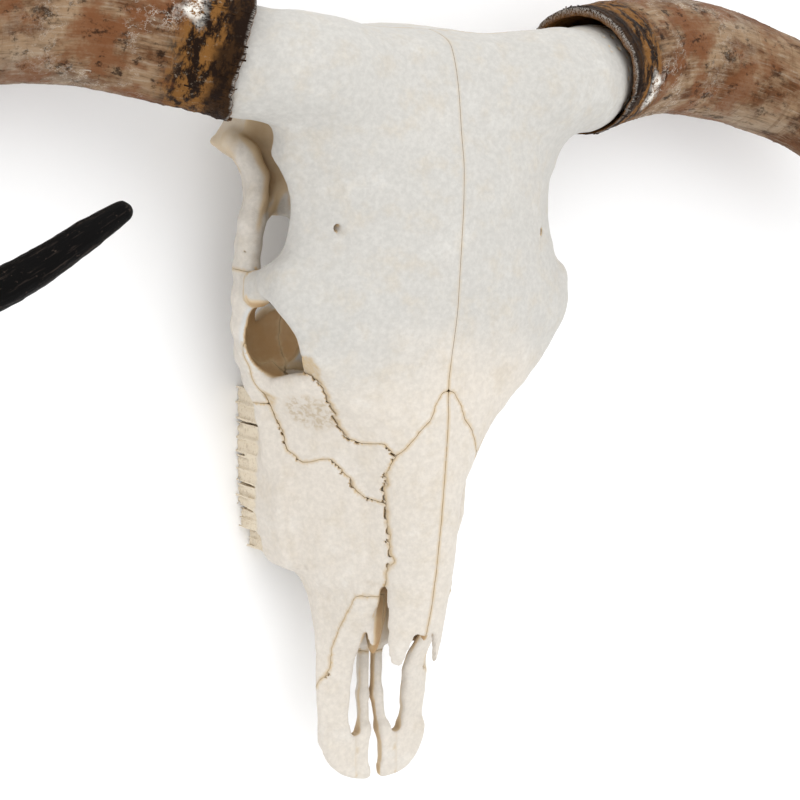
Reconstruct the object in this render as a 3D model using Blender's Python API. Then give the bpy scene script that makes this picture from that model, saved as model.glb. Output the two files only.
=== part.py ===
"""Longhorn skull without its lower jaw, at life size, lying on its teeth.

The bone is described as one smooth body, worked out in millimetres in the skull's own frame:
X is the distance from the midline, s the distance from the poll towards the muzzle, and z the
height out of the forehead. That body is meshed, thinned, and then parted along its sutures
into the bones that a museum label would name. The horn sheaths are tubes along a curved path.
Left and right are the animal's own.
"""
import math

import bmesh
import bpy
import numpy as np

# ---- driving dimensions, millimetres ----
MM = 0.001
GRID = 4.0                  # spacing of the grid that the bone is meshed on
BONE_TRIANGLES = 3500       # after thinning, before the sutures are cut
SUTURE_GAP = 0.3
REST_Z = -188.0             # height of the resting plane at REST_S
REST_S = 50.0
REST_SLOPE = 0.0917         # the plane rises this much for each millimetre towards the muzzle
TOOTH_WEAR = 1.0            # what the resting plane takes off the tips
HORN_BEVEL = 4              # bevel resolution of the sheaths, which gives 12 sides
SHEATH_LENGTHS = (("base", 0.0, 150.0), ("shaft", 150.0, 300.0),
                  ("bend", 300.0, 480.0), ("tip", 480.0, 1000.0))
RIGHT_CURL = 0.0            # how far outwards each horn's end is turned, by side
LEFT_CURL = 42.0

BONE = (0.66, 0.60, 0.50)
FACE_BONE = (0.70, 0.63, 0.51)
HORN = (0.20, 0.12, 0.07)
HORN_TIP = (0.035, 0.026, 0.021)

# Stations along the skull (s) of the roof's midline height, and of its edge.
MIDLINE_S = (-12, 0, 28, 62, 88, 121, 177, 223, 243, 269, 319, 343, 392, 421, 450)
MIDLINE_Z = (-50, -29, -16, -8, -2, 0, 0, -5, -7, -4, -5, -7, -11, -17, -22)
EDGE_S = (-10, 20, 50, 80, 95, 110, 129, 143, 160, 179, 191, 204, 224, 236, 250,
          258, 266, 278, 288, 297, 315, 330, 366, 391, 412, 445)
EDGE_X = (104, 106, 110, 115, 112, 110, 109, 110, 117, 124, 120, 111, 98, 88, 73,
          66, 58, 50, 45, 40, 32, 29.5, 27.5, 26, 24, 20)
EDGE_Z = (-48, -30, -36, -52, -56, -54, -48, -42, -40, -38, -35, -33, -32, -33, -33,
          -32, -31, -30, -30, -29, -29, -29, -29, -29, -29, -30)
# Half-width of the face at these stations, one row for each height.
SIDE_S = (225, 245, 270, 300, 330, 360, 380, 400, 430)
SIDE_ROWS = (
    (-150, (90, 84, 80, 80, 79, 70, 58, 45, 44)),
    (-130, (98, 88, 82, 80, 79, 71, 60, 46, 44)),
    (-105, (106, 100, 88, 80, 76, 68, 61, 49, 46)),
    (-80, (104, 101, 82, 69, 62, 57, 54, 50, 49)),
    (-60, (100, 96, 73, 57, 49, 46, 45, 43, 44)),
    (-30, (96, 78, 56, 38, 30, 28, 27, 26, 27)),
)
# The wall of the muzzle is a sheet through three edges: upper (A), middle (B) and lower (C).
WALL_S = (384, 398, 408, 418, 434, 452, 470, 500, 514)
WALL_UPPER_X = (31, 30, 28.5, 28, 28, 27, 26, 26.5, 25)
WALL_UPPER_Z = (-38, -41, -49, -56, -66, -77, -81, -81.5, -80)
WALL_MIDDLE_X = (37, 36, 37, 38, 39, 37, 35, 33, 32)
WALL_MIDDLE_Z = (-52, -52, -58, -63, -72, -81, -84, -84, -82)
WALL_LOWER_X = (44, 43.5, 43.5, 43.5, 43.5, 43.5, 43, 40, 39.5)
WALL_LOWER_Z = (-90, -88, -88, -88, -88, -88, -87, -86, -84)
TOOTH_GAPS_S = (257, 283, 308, 329, 347, 363, 377)

# Sutures in plan (X, s), from the midline outwards.
FRONTONASAL = ((0, 242), (6, 244), (11, 254), (15, 263), (23, 271), (29, 281), (33, 288))
FRONTOLACRIMAL = ((33, 288), (41, 280), (51, 281), (57, 279), (66, 266), (77, 251),
                  (88, 236), (98, 221))
NASOMAXILLARY = ((33, 288), (34.5, 296), (33, 305), (30, 326), (28, 348), (26.3, 366))
LACRIMOMAXILLARY = ((30, 326), (39, 323), (44, 319), (49, 309), (59, 298), (70, 302),
                    (78, 296), (85, 275), (95, 256), (118, 236))
# The premaxilla's suture on the wall of the muzzle (s, z).
PREMAXILLARY = ((392, -30), (396, -50), (410, -60), (424, -67), (438, -74), (452, -80),
                (470, -86), (478, -100))
# Under surfaces of the bones of the roof and the face (X, z).
FRONTAL_UNDERSIDE = ((0, -58), (85, -58), (125, -88), (150, -135), (300, -200))
NASAL_UNDERSIDE = ((0, -36), (60, -36))
LACRIMAL_UNDERSIDE = ((20, -40), (50, -72), (62, -92), (90, -99), (130, -92))
BONE_FRONT = 236            # station between the braincase and the two maxillae


# ---- distance functions: negative inside, millimetres ----
def blend(a, b, radius):
    """Union of two distances with a fillet."""
    mix = np.clip(0.5 + 0.5 * (b - a) / radius, 0, 1)
    return b + (a - b) * mix - radius * mix * (1 - mix)


def common(a, b, radius):
    """Intersection with a rounded edge."""
    return -blend(-a, -b, radius)


def carve(a, b, radius):
    """Takes b out of a, with a rounded edge."""
    return -blend(-a, b, radius)


def ellipsoid(p, centre, radii):
    q = [(p[i] - centre[i]) / radii[i] for i in range(3)]
    near = np.sqrt(sum(c * c for c in q)) + 1e-6
    slope = np.sqrt(sum((q[i] / radii[i]) ** 2 for i in range(3))) + 1e-6
    return near * (near - 1) / slope


def taper(p, a, b, radius_a, radius_b, scale=(1, 1, 1)):
    """A rod with round ends from a to b; scale stretches its section."""
    start = np.array(a, float) / scale
    along = np.array(b, float) / scale - start
    q = [p[i] / scale[i] - start[i] for i in range(3)]
    t = np.clip(sum(q[i] * along[i] for i in range(3)) / (along @ along), 0, 1)
    gap = np.sqrt(sum((q[i] - t * along[i]) ** 2 for i in range(3)))
    return (gap - radius_a - (radius_b - radius_a) * t) * min(scale)


def rod(p, points, radii, radius=6, scale=(1, 1, 1)):
    """Rods end to end through the points."""
    out = taper(p, points[0], points[1], radii[0], radii[1], scale)
    for i in range(1, len(points) - 1):
        out = blend(out, taper(p, points[i], points[i + 1], radii[i], radii[i + 1], scale), radius)
    return out


def block(p, centre, half, corner):
    q = [np.abs(p[i] - centre[i]) - (half[i] - corner) for i in range(3)]
    outside = np.sqrt(sum(np.maximum(c, 0) ** 2 for c in q))
    return outside + np.minimum(np.maximum(np.maximum(q[0], q[1]), q[2]), 0) - corner


def through(s, stations, values):
    """Smooth curve through the values that doesn't overshoot between them."""
    x = np.array(stations, float)
    y = np.array(values, float)
    step = np.diff(x)
    rise = np.diff(y) / step
    same_way = rise[:-1] * rise[1:] > 0
    slope = np.zeros_like(y)
    slope[1:-1] = np.where(same_way, 2 * rise[:-1] * rise[1:] / (rise[:-1] + rise[1:] + 1e-12), 0)
    slope[0] = rise[0]
    slope[-1] = rise[-1]
    s = np.clip(s, x[0], x[-1])
    i = np.clip(np.searchsorted(x, s, side="right") - 1, 0, len(step) - 1)
    t = (s - x[i]) / step[i]
    ease = t * t * (3 - 2 * t)
    return (y[i] + (y[i + 1] - y[i]) * ease
            + (t ** 3 - 2 * t * t + t) * step[i] * slope[i]
            + (t ** 3 - t * t) * step[i] * slope[i + 1])


def resting_height(s):
    return REST_Z + (s - REST_S) * REST_SLOPE


# ---- the regions of the skull ----
def roof_height(X, s):
    """The forehead and nose: flat near the midline, falling away towards the edge."""
    middle = through(s, MIDLINE_S, MIDLINE_Z)
    edge_x = through(s, EDGE_S, EDGE_X)
    edge_z = through(s, EDGE_S, EDGE_Z)
    return middle - (middle - edge_z) * np.minimum(X / edge_x, 1.25) ** 2.6


def face_half_width(z, s):
    heights = [row[0] for row in SIDE_ROWS]
    widths = [through(s, SIDE_S, row[1]) for row in SIDE_ROWS]
    z = np.clip(z, heights[0], heights[-1])
    out = widths[0] + 0 * z
    for i in range(len(heights) - 1):
        t = np.clip((z - heights[i]) / (heights[i + 1] - heights[i]), 0, 1)
        out = out + (widths[i + 1] - widths[i]) * t
    return out


def forehead(X, s, z):
    edge = through(s, EDGE_S, EDGE_X)
    top = roof_height(X, s)
    upper = (z - top) * 0.86
    under = top - 24 - 0.35 * np.maximum(0, edge - X) - z
    plate = common(common(upper, X - edge, 7), under, 8)
    plate = common(plate, -(s + 6), 10)
    return common(plate, s - 262, 8)


def cranium(p):
    body = blend(ellipsoid(p, (0, 82, -104), (84, 92, 66)),
                 block(p, (0, 36, -100), (84, 40, 60), 26), 20)
    return carve(body, taper(p, (0, -14, -118), (46, -8, -112), 20, 16), 16)


def face(X, s, z):
    palate = -119 - 10 * np.clip((s - 380) / 40, -0.2, 0) + 28 * np.clip((s - 385) / 60, 0, 1)
    body = common((z - roof_height(X, s)) * 0.86, (X - face_half_width(z, s)) * 0.86, 4)
    body = common(body, palate - z, 6)
    body = common(body, 234 - s + 0.25 * np.maximum(0, -60 - z), 8)
    upper_part = common(body, s - 386 - 0.25 * (-36 - z), 6)
    floor = common(common(body, z + 87, 3), s - 444, 4)
    return blend(upper_part, floor, 3)


def tooth_row(X, s, z):
    """Six cheek teeth, each a block with upright ridges and a worn groove."""
    out = None
    for a, b in zip(TOOTH_GAPS_S[:-1], TOOTH_GAPS_S[1:]):
        middle = (a + b) / 2
        half = (b - a) / 2 - 0.6
        molar = a < 325
        outer = np.interp(middle, (257, 350, 377), (80, 79, 68))
        depth = 10 if molar else 8.5
        wear = 0.0 if a < 340 else 1.6 + 0.12 * (a - 340)
        low = resting_height(middle) + wear
        tooth = block((X, s, z), (outer - depth, middle, (low - 112) / 2),
                      (depth, half, (-112 - low) / 2), 3)
        for place in ((-1, 0, 1) if molar else (-1, 1)):
            ridge = middle + place * (half - 2.6)
            tooth = blend(tooth, taper((X, s, z), (outer - 0.5, ridge, -122),
                                       (outer - 1, ridge, low + 3), 1.9, 1.5), 2)
        out = tooth if out is None else np.minimum(out, tooth)
    return out


def upper_jaw(X, s, z):
    row_x = np.interp(s, (240, 255, 350, 377, 395), (70, 70, 69, 61, 54))
    ridge = common(np.abs(X - row_x) - 12.5, common(-132 - z, z + 95, 3), 6)
    ridge = common(ridge, np.abs(s - 316) - 70, 9)
    crest = rod((X, s, z), ((98, 246, -107), (88, 272, -110), (82, 304, -111)), (7, 6, 5))
    return blend(blend(ridge, tooth_row(X, s, z), 2.2), crest, 10)


def eye_socket(p):
    return blend(ellipsoid(p, (114, 206, -67), (40, 26, 29)),
                 ellipsoid(p, (86, 203, -66), (30, 21, 20)), 12)


def eye_bowl(p):
    """The floor of the eye socket, hollowed out behind the arch's thin rim."""
    return ellipsoid(p, (97, 208, -84), (19.5, 26, 21))


def temple_hollow(p):
    return blend(ellipsoid(p, (112, 122, -88), (26, 38, 32)),
                 ellipsoid(p, (94, 152, -108), (25, 25, 50)), 12)


def temple_back(p):
    """The rear of the temple hollow, under the edge of the forehead."""
    return ellipsoid(p, (103, 88, -99), (23, 38, 25))


def cheek_arch(p):
    lower = rod(p, ((96, 118, -118), (104, 132, -115), (109, 148, -111), (112, 165, -107),
                    (112.5, 185, -104), (111.5, 205, -104), (106, 226, -106), (96, 246, -110)),
                (9, 8, 7, 7, 8, 8.5, 9, 9), 8)
    upper = rod(p, ((104, 132, -106), (111, 150, -102), (112.5, 165, -99), (113, 185, -97),
                    (113, 203, -96), (109, 222, -97), (100, 238, -98), (88, 247, -92)),
                (6, 6, 6, 6.5, 6.5, 6.5, 7, 8), 8)
    strut = rod(p, ((112, 164, -45), (114, 172, -62), (114.5, 180, -80), (112, 186, -98)),
                (10, 8, 8, 9), 8)
    return blend(blend(lower, upper, 6), strut, 8)


def temporal_knob(p):
    """The lump behind the ear and the ridge that runs from it into the cheek arch."""
    stem = rod(p, ((92, 40, -112), (102, 56, -130), (106, 72, -142)), (16, 12, 11), 8)
    root = taper(p, (78, 58, -120), (96, 72, -140), 22, 14)
    lump = taper(p, (100, 77, -142), (121, 78, -144), 13, 3.5)
    ridge = rod(p, ((110, 78, -136), (102, 88, -130), (93, 98, -125), (91, 110, -122),
                    (97, 122, -118)), (9, 8, 8, 8, 8), 8)
    shelf = ellipsoid(p, (80, 104, -124), (26, 25, 15))
    return blend(blend(blend(blend(stem, root, 12), lump, 8), ridge, 8), shelf, 8)


def horn_core(p):
    return rod(p, ((92, 25, -46), (118, 22, -56), (155, 14, -76), (200, 5, -97), (230, 1, -106)),
               (36, 36.5, 33.5, 26, 17), 4)


def skull_base(body, p):
    body = blend(body, rod(p, ((0, 22, -156), (0, 80, -150), (0, 150, -138)), (20, 15, 15), 10), 14)
    body = blend(body, ellipsoid(p, (26, 8, -155), (17, 17, 20)), 8)
    body = blend(body, rod(p, ((62, 36, -140), (57, 44, -168), (54, 50, -183.5)), (12, 8, 4.5)), 10)
    body = blend(body, ellipsoid(p, (46, 76, -160), (13, 20, 14)), 8)
    body = blend(body, temporal_knob(p), 10)
    body = carve(body, taper(p, (122, 92, -138), (86, 92, -134), 5.5, 3.5), 3)
    body = carve(body, taper(p, (0, -20, -142), (0, 40, -132), 17, 13), 5)
    wings = rod(p, ((27, 170, -132), (27, 205, -140), (26, 232, -136)), (6, 6, 6), 5, (1, 1, 3))
    body = blend(body, wings, 8)
    body = blend(body, block(p, (24, 238, -122), (30, 16, 8), 6), 8)
    return carve(body, taper(p, (0, 212, -124), (0, 246, -98), 17, 11), 6)


def muzzle_wall(X, s, z):
    edges = []
    for x_values, z_values in ((WALL_UPPER_X, WALL_UPPER_Z), (WALL_MIDDLE_X, WALL_MIDDLE_Z),
                               (WALL_LOWER_X, WALL_LOWER_Z)):
        edges.append((through(s, WALL_S, x_values), through(s, WALL_S, z_values)))
    thickness = np.interp(s, (384, 430, 470, 514), (3.4, 3.8, 4.4, 4.6))
    out = None
    for (ax, az), (bx, bz) in zip(edges[:-1], edges[1:]):
        dx = bx - ax
        dz = bz - az
        t = np.clip(((X - ax) * dx + (z - az) * dz) / (dx * dx + dz * dz), 0, 1)
        sheet = np.sqrt((X - ax - t * dx) ** 2 + (z - az - t * dz) ** 2) - thickness
        out = sheet if out is None else blend(out, sheet, 3)
    return common(out, np.abs(s - 449) - 65, 4)


def muzzle_end(X, s, z):
    """The flat front of the premaxilla and its inner bar."""
    along = np.maximum(s - 502, 0)
    rounding = (np.abs(X - 5) / 39.5) ** 2.3 + (along / 39) ** 2.3
    outline = (np.maximum(rounding, 1e-6) ** (1 / 2.3) - 1) * 34
    clear_of_middle = through(s, (500, 515, 527, 534, 541), (4, 5.5, 6, 4, 3.5)) - X
    height = np.interp(s, (500, 525, 541), (-82, -80.5, -77))
    half = np.interp(s, (500, 525, 541), (5, 5, 4))
    plate = common(outline, common(np.abs(z - height) - half, clear_of_middle, 3), 4)
    plate = common(plate, 500 - s, 6)
    bar = rod((X, s, z), ((6.0, 438, -93), (6.2, 480, -90), (8, 505, -83), (12, 514, -81)),
              (4.8, 4.6, 4.6, 4.6), 4)
    return blend(plate, bar, 4)


def nasal_roof(X, s, z):
    """Thin arched roof of the nose, with a notch between its inner and outer points."""
    top = roof_height(X, s)
    shell = common((z - top) * 0.86, top - 6.5 - 0.1 * np.maximum(0, 400 - s) - z, 3)
    width = np.interp(s, (360, 391, 412, 432, 446), (26.5, 25.5, 23.5, 21, 17.5))
    shell = common(shell, X - width, 3)
    end = 419 + 24 * np.clip((X - 7.5) / 6.5, 0, 1) ** 1.3 + 0.3 * np.clip(7 - X, 0, 7)
    return common(common(shell, s - end, 3), 330 - s, 4)


def bone(X, s, z):
    """The whole skull, less the gaps between its bones."""
    p = (X, s, z)
    body = blend(forehead(X, s, z), cranium(p), 16)
    body = blend(body, block(p, (0, 180, -92), (50, 85, 46), 18), 18)
    body = blend(body, face(X, s, z), 3.5)
    body = blend(body, ellipsoid(p, (64, 222, -114), (40, 38, 26)), 10)
    body = blend(body, upper_jaw(X, s, z), 6)
    body = carve(body, eye_socket(p), 6)
    body = carve(body, temple_hollow(p), 8)
    body = blend(body, cheek_arch(p), 8)
    body = blend(body, horn_core(p), 22)
    body = skull_base(body, p)
    body = carve(carve(body, eye_bowl(p), 2.5), temple_back(p), 5)
    cavity = ellipsoid(p, (0, 404, -54), (22, 58, 33))
    side_room = face_half_width(z, s) - 6
    airway = common(X - side_room, common(np.abs(z + 56) - 29, 388 - s, 6), 4)
    body = carve(body, blend(cavity, airway, 6), 3)
    body = blend(body, muzzle_wall(X, s, z), 3)
    body = blend(body, nasal_roof(X, s, z), 2.5)
    fissure = rod(p, ((14, 450, -84), (16.5, 470, -84), (17.5, 492, -84), (17.5, 504, -84)),
                  (4.0, 6.0, 5.8, 4.0), 4, (1, 1, 5))
    body = blend(body, muzzle_end(X, s, z), 4)
    return carve(body, fissure, 2)


# ---- meshing the bone ----
def sample_bone(low, high):
    """Distances on a grid: coarse everywhere, and full where the surface may pass."""
    coarse = 4
    count = [int(math.ceil((high[i] - low[i]) / (GRID * coarse))) for i in range(3)]
    axis = [low[i] + GRID * coarse * np.arange(count[i] + 1) for i in range(3)]
    rough = distances(*np.meshgrid(*axis, indexing="ij"))
    nearest = np.full(count, 1e9)
    for corner in np.ndindex(2, 2, 2):
        part = tuple(slice(corner[i], count[i] + corner[i]) for i in range(3))
        nearest = np.minimum(nearest, np.abs(rough[part]))
    fine = rough[:-1, :-1, :-1]
    for i in range(3):
        fine = np.repeat(fine, coarse, i)
    field = np.full([n * coarse + 1 for n in count], 1e3)
    field[:-1, :-1, :-1] = fine
    starts = np.argwhere(nearest < GRID * coarse * 2.2) * coarse
    offsets = np.array(list(np.ndindex(coarse + 1, coarse + 1, coarse + 1)))
    for chunk in np.array_split(starts, max(1, len(starts) // 4000)):
        cells = (chunk[:, None] + offsets[None]).reshape(-1, 3)
        place = [low[i] + GRID * cells[:, i] for i in range(3)]
        field[cells[:, 0], cells[:, 1], cells[:, 2]] = distances(*place)
    return field


def distances(x, y, z):
    X = np.sqrt(x * x + 0.25)
    return bone(X, -y, z)


def untangle(field):
    """Opens the places where two bodies would touch along one edge only."""
    for u, v in ((0, 1), (0, 2), (1, 2)) * 2:
        corner = {}
        for a, b in ((0, 0), (0, 1), (1, 0), (1, 1)):
            part = [slice(None)] * 3
            part[u] = slice(a, field.shape[u] - 1 + a)
            part[v] = slice(b, field.shape[v] - 1 + b)
            corner[a, b] = field[tuple(part)]
        for one, two, three, four in (((0, 0), (1, 1), (0, 1), (1, 0)),
                                      ((0, 1), (1, 0), (0, 0), (1, 1))):
            touching = ((corner[one] < 0) & (corner[two] < 0)
                        & (corner[three] >= 0) & (corner[four] >= 0))
            corner[one][touching] = 0.02 * GRID
    return field


def net_surface(field, low):
    """One point in each grid cell that the surface crosses, and a quad round each crossing."""
    inside = field < 0
    cells = [n - 1 for n in field.shape]
    filled = np.zeros(cells, int)
    for corner in np.ndindex(2, 2, 2):
        filled += inside[tuple(slice(corner[i], cells[i] + corner[i]) for i in range(3))]
    crossed = (filled > 0) & (filled < 8)
    number = np.full(cells, -1)
    where = np.argwhere(crossed)
    number[crossed] = np.arange(len(where))
    total = np.zeros((len(where), 3))
    weight = np.zeros(len(where))
    quads = []
    for axis in range(3):
        u, v = [k for k in range(3) if k != axis]
        for near in ((0, 0), (0, 1), (1, 0), (1, 1)):
            start = where.copy()
            start[:, u] += near[0]
            start[:, v] += near[1]
            end = start.copy()
            end[:, axis] += 1
            a = field[tuple(start.T)]
            b = field[tuple(end.T)]
            cut = (a < 0) != (b < 0)
            point = (start - where).astype(float)
            point[cut, axis] = (a / (a - b + 1e-30))[cut]
            total[cut] += point[cut]
            weight[cut] += 1
        first = [slice(1, -1)] * 3
        second = [slice(1, -1)] * 3
        first[axis] = slice(0, -1)
        second[axis] = slice(1, None)
        start_inside = inside[tuple(first)]
        change = start_inside != inside[tuple(second)]
        edge = np.argwhere(change)
        edge[:, u] += 1
        edge[:, v] += 1
        ring = []
        for back_u, back_v in ((1, 1), (0, 1), (0, 0), (1, 0)):
            cell = edge.copy()
            cell[:, u] -= back_u
            cell[:, v] -= back_v
            ring.append(number[tuple(cell.T)])
        ring = np.stack(ring, 1)
        outward = start_inside[change] if axis != 1 else ~start_inside[change]
        ring[~outward] = ring[~outward][:, ::-1]
        quads.append(ring)
    points = (where + total / weight[:, None]) * GRID + np.array(low)
    return points, np.concatenate(quads)


# ---- Blender objects ----
def new_object(name, mesh, collection):
    thing = bpy.data.objects.new(name, mesh)
    collection.objects.link(thing)
    return thing


def apply_modifiers(thing):
    bpy.context.view_layer.update()
    evaluated = thing.evaluated_get(bpy.context.evaluated_depsgraph_get())
    mesh = bpy.data.meshes.new_from_object(evaluated)
    thing.modifiers.clear()
    old = thing.data
    thing.data = mesh
    if old.users == 0:
        bpy.data.meshes.remove(old)


def boolean(thing, cutter, operation):
    modifier = thing.modifiers.new("cut", "BOOLEAN")
    modifier.operation = operation
    modifier.solver = "MANIFOLD"
    modifier.object = cutter
    apply_modifiers(thing)


def keep_largest(thing):
    """Drops the crumbs that a cut leaves behind."""
    work = bmesh.new()
    work.from_mesh(thing.data)
    unseen = set(work.faces)
    pieces = []
    while unseen:
        reached = [unseen.pop()]
        for face in reached:
            neighbours = {near for edge in face.edges for near in edge.link_faces}
            fresh = neighbours & unseen
            unseen -= fresh
            reached.extend(fresh)
        pieces.append(reached)
    pieces.sort(key=len)
    crumbs = [face for piece in pieces[:-1] for face in piece]
    bmesh.ops.delete(work, geom=crumbs, context="FACES")
    work.to_mesh(thing.data)
    work.free()


def whole_bone(collection, cutters):
    low = (-256.0, -552.0, -204.0)
    high = (256.0, 24.0, 24.0)
    points, quads = net_surface(untangle(sample_bone(low, high)), low)
    mesh = bpy.data.meshes.new("skull")
    mesh.from_pydata((points * MM).tolist(), [], quads.tolist())
    skull = new_object("skull", mesh, collection)
    thin = skull.modifiers.new("thin", "DECIMATE")
    thin.ratio = BONE_TRIANGLES / (2 * len(quads))
    thin.use_symmetry = True
    thin.symmetry_axis = "X"
    apply_modifiers(skull)
    trim_to_rest(skull, cutters)
    return skull


def trim_to_rest(skull, cutters):
    """Wears the teeth and the tips of the skull base to one flat resting plane."""
    back, front, deep = -60, 600, -400
    worn = [(s, resting_height(s) + TOOTH_WEAR) for s in (back, front)]
    slab = prism("floor_cutter", worn + [(front, deep), (back, deep)], 0, -400, 400, 1, cutters)
    boolean(skull, slab, "DIFFERENCE")


def prism(name, outline, axis, start, end, side, collection):
    """An outline pushed through the skull: axis 2 is a plan, 0 a side view, 1 a front view."""
    work = bmesh.new()
    ring = []
    for a, b in outline:
        if axis == 2:
            place = (side * a, -b, start)
        elif axis == 0:
            place = (side * start, -a, b)
        else:
            place = (side * a, -start, b)
        ring.append(work.verts.new([c * MM for c in place]))
    base = work.faces.new(ring)
    pushed = bmesh.ops.extrude_face_region(work, geom=[base])
    top = [item for item in pushed["geom"] if isinstance(item, bmesh.types.BMVert)]
    depth = (end - start) * MM
    push = ((side * depth, 0, 0), (0, -depth, 0), (0, 0, depth))[axis]
    bmesh.ops.translate(work, verts=top, vec=push)
    bmesh.ops.recalc_face_normals(work, faces=work.faces[:])
    mesh = bpy.data.meshes.new(name)
    work.to_mesh(mesh)
    work.free()
    cutter = new_object(name, mesh, collection)
    cutter.hide_render = True
    cutter.display_type = "WIRE"
    return cutter


def widened(outline, gap):
    """The outline pushed outwards by the gap, corner by corner."""
    points = np.array(outline, float)
    before = points - np.roll(points, 1, 0)
    after = np.roll(points, -1, 0) - points
    turn = np.sum(points[:, 0] * np.roll(points[:, 1], -1) - points[:, 1] * np.roll(points[:, 0], -1))
    normals = []
    for edge in (before, after):
        edge = edge / np.linalg.norm(edge, axis=1)[:, None]
        normals.append(np.stack([edge[:, 1], -edge[:, 0]], 1) * np.sign(turn))
    middle = normals[0] + normals[1]
    middle = middle / np.maximum(np.sum(middle * normals[0], axis=1), 0.35)[:, None]
    return [tuple(point) for point in points + gap * middle]


def bone_regions():
    """Each bone of the roof and muzzle as prisms: outline, axis, start and end."""
    frontal_plan = (((0, -60),) + FRONTONASAL + FRONTOLACRIMAL[1:]
                    + ((140, 212), (140, 104), (300, 104), (300, -60)))
    nasal_plan = (FRONTONASAL + NASOMAXILLARY[1:] + ((27, 376), (27, 460), (0, 460)))
    lacrimal_plan = (FRONTOLACRIMAL[::-1] + NASOMAXILLARY[1:3] + LACRIMOMAXILLARY
                     + ((124, 216),))
    wall = tuple(PREMAXILLARY) + ((600, -100), (600, -30))
    return {
        "frontal": ((frontal_plan, 2, -210, 60), (frame_under(FRONTAL_UNDERSIDE), 1, -70, 300)),
        "nasal": ((nasal_plan, 2, -120, 60), (frame_under(NASAL_UNDERSIDE), 1, 200, 470)),
        "lacrimal": ((lacrimal_plan, 2, -120, 60), (frame_under(LACRIMAL_UNDERSIDE), 1, 150, 380)),
        "zygomatic": ((((84, 166), (84, 232), (89, 262), (160, 262), (160, 166)), 2, -150, -60),),
        "premaxilla_wall": ((wall, 0, 17, 80),),
        "premaxilla_bar": ((((0, 447), (0, 600), (18, 600), (18, 447)), 2, -120, -30),),
    }


def frame_under(underside):
    """A front view of everything above an underside."""
    return tuple(underside) + ((underside[-1][0], 90), (underside[0][0], 90))


def region_cutter(name, prisms, side, gap, collection):
    """The prisms' common part, narrower or wider than the bone by half the suture's gap."""
    cutters = []
    for index, (outline, axis, start, end) in enumerate(prisms):
        cutters.append(prism(f"{name}_{index}", widened(outline, gap), axis, start, end, side,
                             collection))
    for other in cutters[1:]:
        boolean(cutters[0], other, "INTERSECT")
        bpy.data.objects.remove(other)
    return cutters[0]


def copy_of(thing, name, collection):
    return new_object(name, thing.data.copy(), collection)


def part_bones(skull, bones, cutters):
    """Takes each bone out of the skull in turn; what is left is braincase and maxillae."""
    half = SUTURE_GAP / 2
    made = {}
    regions = bone_regions()
    order = ("frontal", "nasal", "lacrimal", "zygomatic", "premaxilla_wall", "premaxilla_bar")
    for name in order:
        for side, word in ((1, "left"), (-1, "right")):
            inner = region_cutter(f"{name}_{word}_inner", regions[name], side, -half, cutters)
            piece = copy_of(skull, f"{name}_{word}", bones)
            boolean(piece, inner, "INTERSECT")
            made[f"{name}_{word}"] = piece
            outer = region_cutter(f"{name}_{word}_outer", regions[name], side, half, cutters)
            boolean(skull, outer, "DIFFERENCE")
    for word in ("left", "right"):
        wall = made[f"premaxilla_wall_{word}"]
        bar = made.pop(f"premaxilla_bar_{word}")
        wall.name = f"premaxilla_{word}"
        made[wall.name] = made.pop(f"premaxilla_wall_{word}")
        boolean(wall, bar, "UNION")
        bpy.data.objects.remove(bar)
    beyond = 400
    for side, word in ((1, "left"), (-1, "right")):
        front = ((half, BONE_FRONT + half), (half, 600), (beyond, 600),
                 (beyond, BONE_FRONT + half))
        cutter = prism(f"maxilla_{word}_cutter", front, 2, -300, 100, side, cutters)
        piece = copy_of(skull, f"maxilla_{word}", bones)
        boolean(piece, cutter, "INTERSECT")
        made[piece.name] = piece
    back = ((-beyond, -100), (-beyond, BONE_FRONT - half),
            (beyond, BONE_FRONT - half), (beyond, -100))
    boolean(skull, prism("braincase_cutter", back, 2, -300, 100, 1, cutters), "INTERSECT")
    skull.name = "braincase"
    made["braincase"] = skull
    for piece in made.values():
        keep_largest(piece)
    return made


# ---- horn sheaths ----
def horn_path(curl):
    """Centreline and radius of a sheath: out, slightly back, then round and forward."""
    stations = [(140, 15, -68, 47.5), (155, 12, -76, 47), (200, 4, -97, 46), (250, -2, -112, 45),
                (295, 0, -119, 44.5), (350, 11, -118, 42), (404.9, 31, -108, 39.5)]
    bend_radius = 75
    for heading, z, radius in ((60, -85, 36.5), (100, -55, 30), (140, -24, 23), (180, 2, 16.5)):
        angle = math.radians(heading)
        outward = curl * max(0, heading - 100) / 160
        stations.append((378 + bend_radius * math.sin(angle) + outward,
                         101 - bend_radius * math.cos(angle), z, radius))
    for share, x, s, z, radius in ((0.6, 352, 168, 17, 13.0), (0.7, 330, 154, 26, 12.0),
                                   (0.85, 302, 133, 35, 9.6), (1.0, 274, 113, 41, 6.4)):
        stations.append((x + share * curl, s, z, radius))
    table = np.array(stations, float)
    along = np.concatenate([[0], np.cumsum(np.linalg.norm(np.diff(table[:, :3], axis=0), axis=1))])
    return table, along


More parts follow.
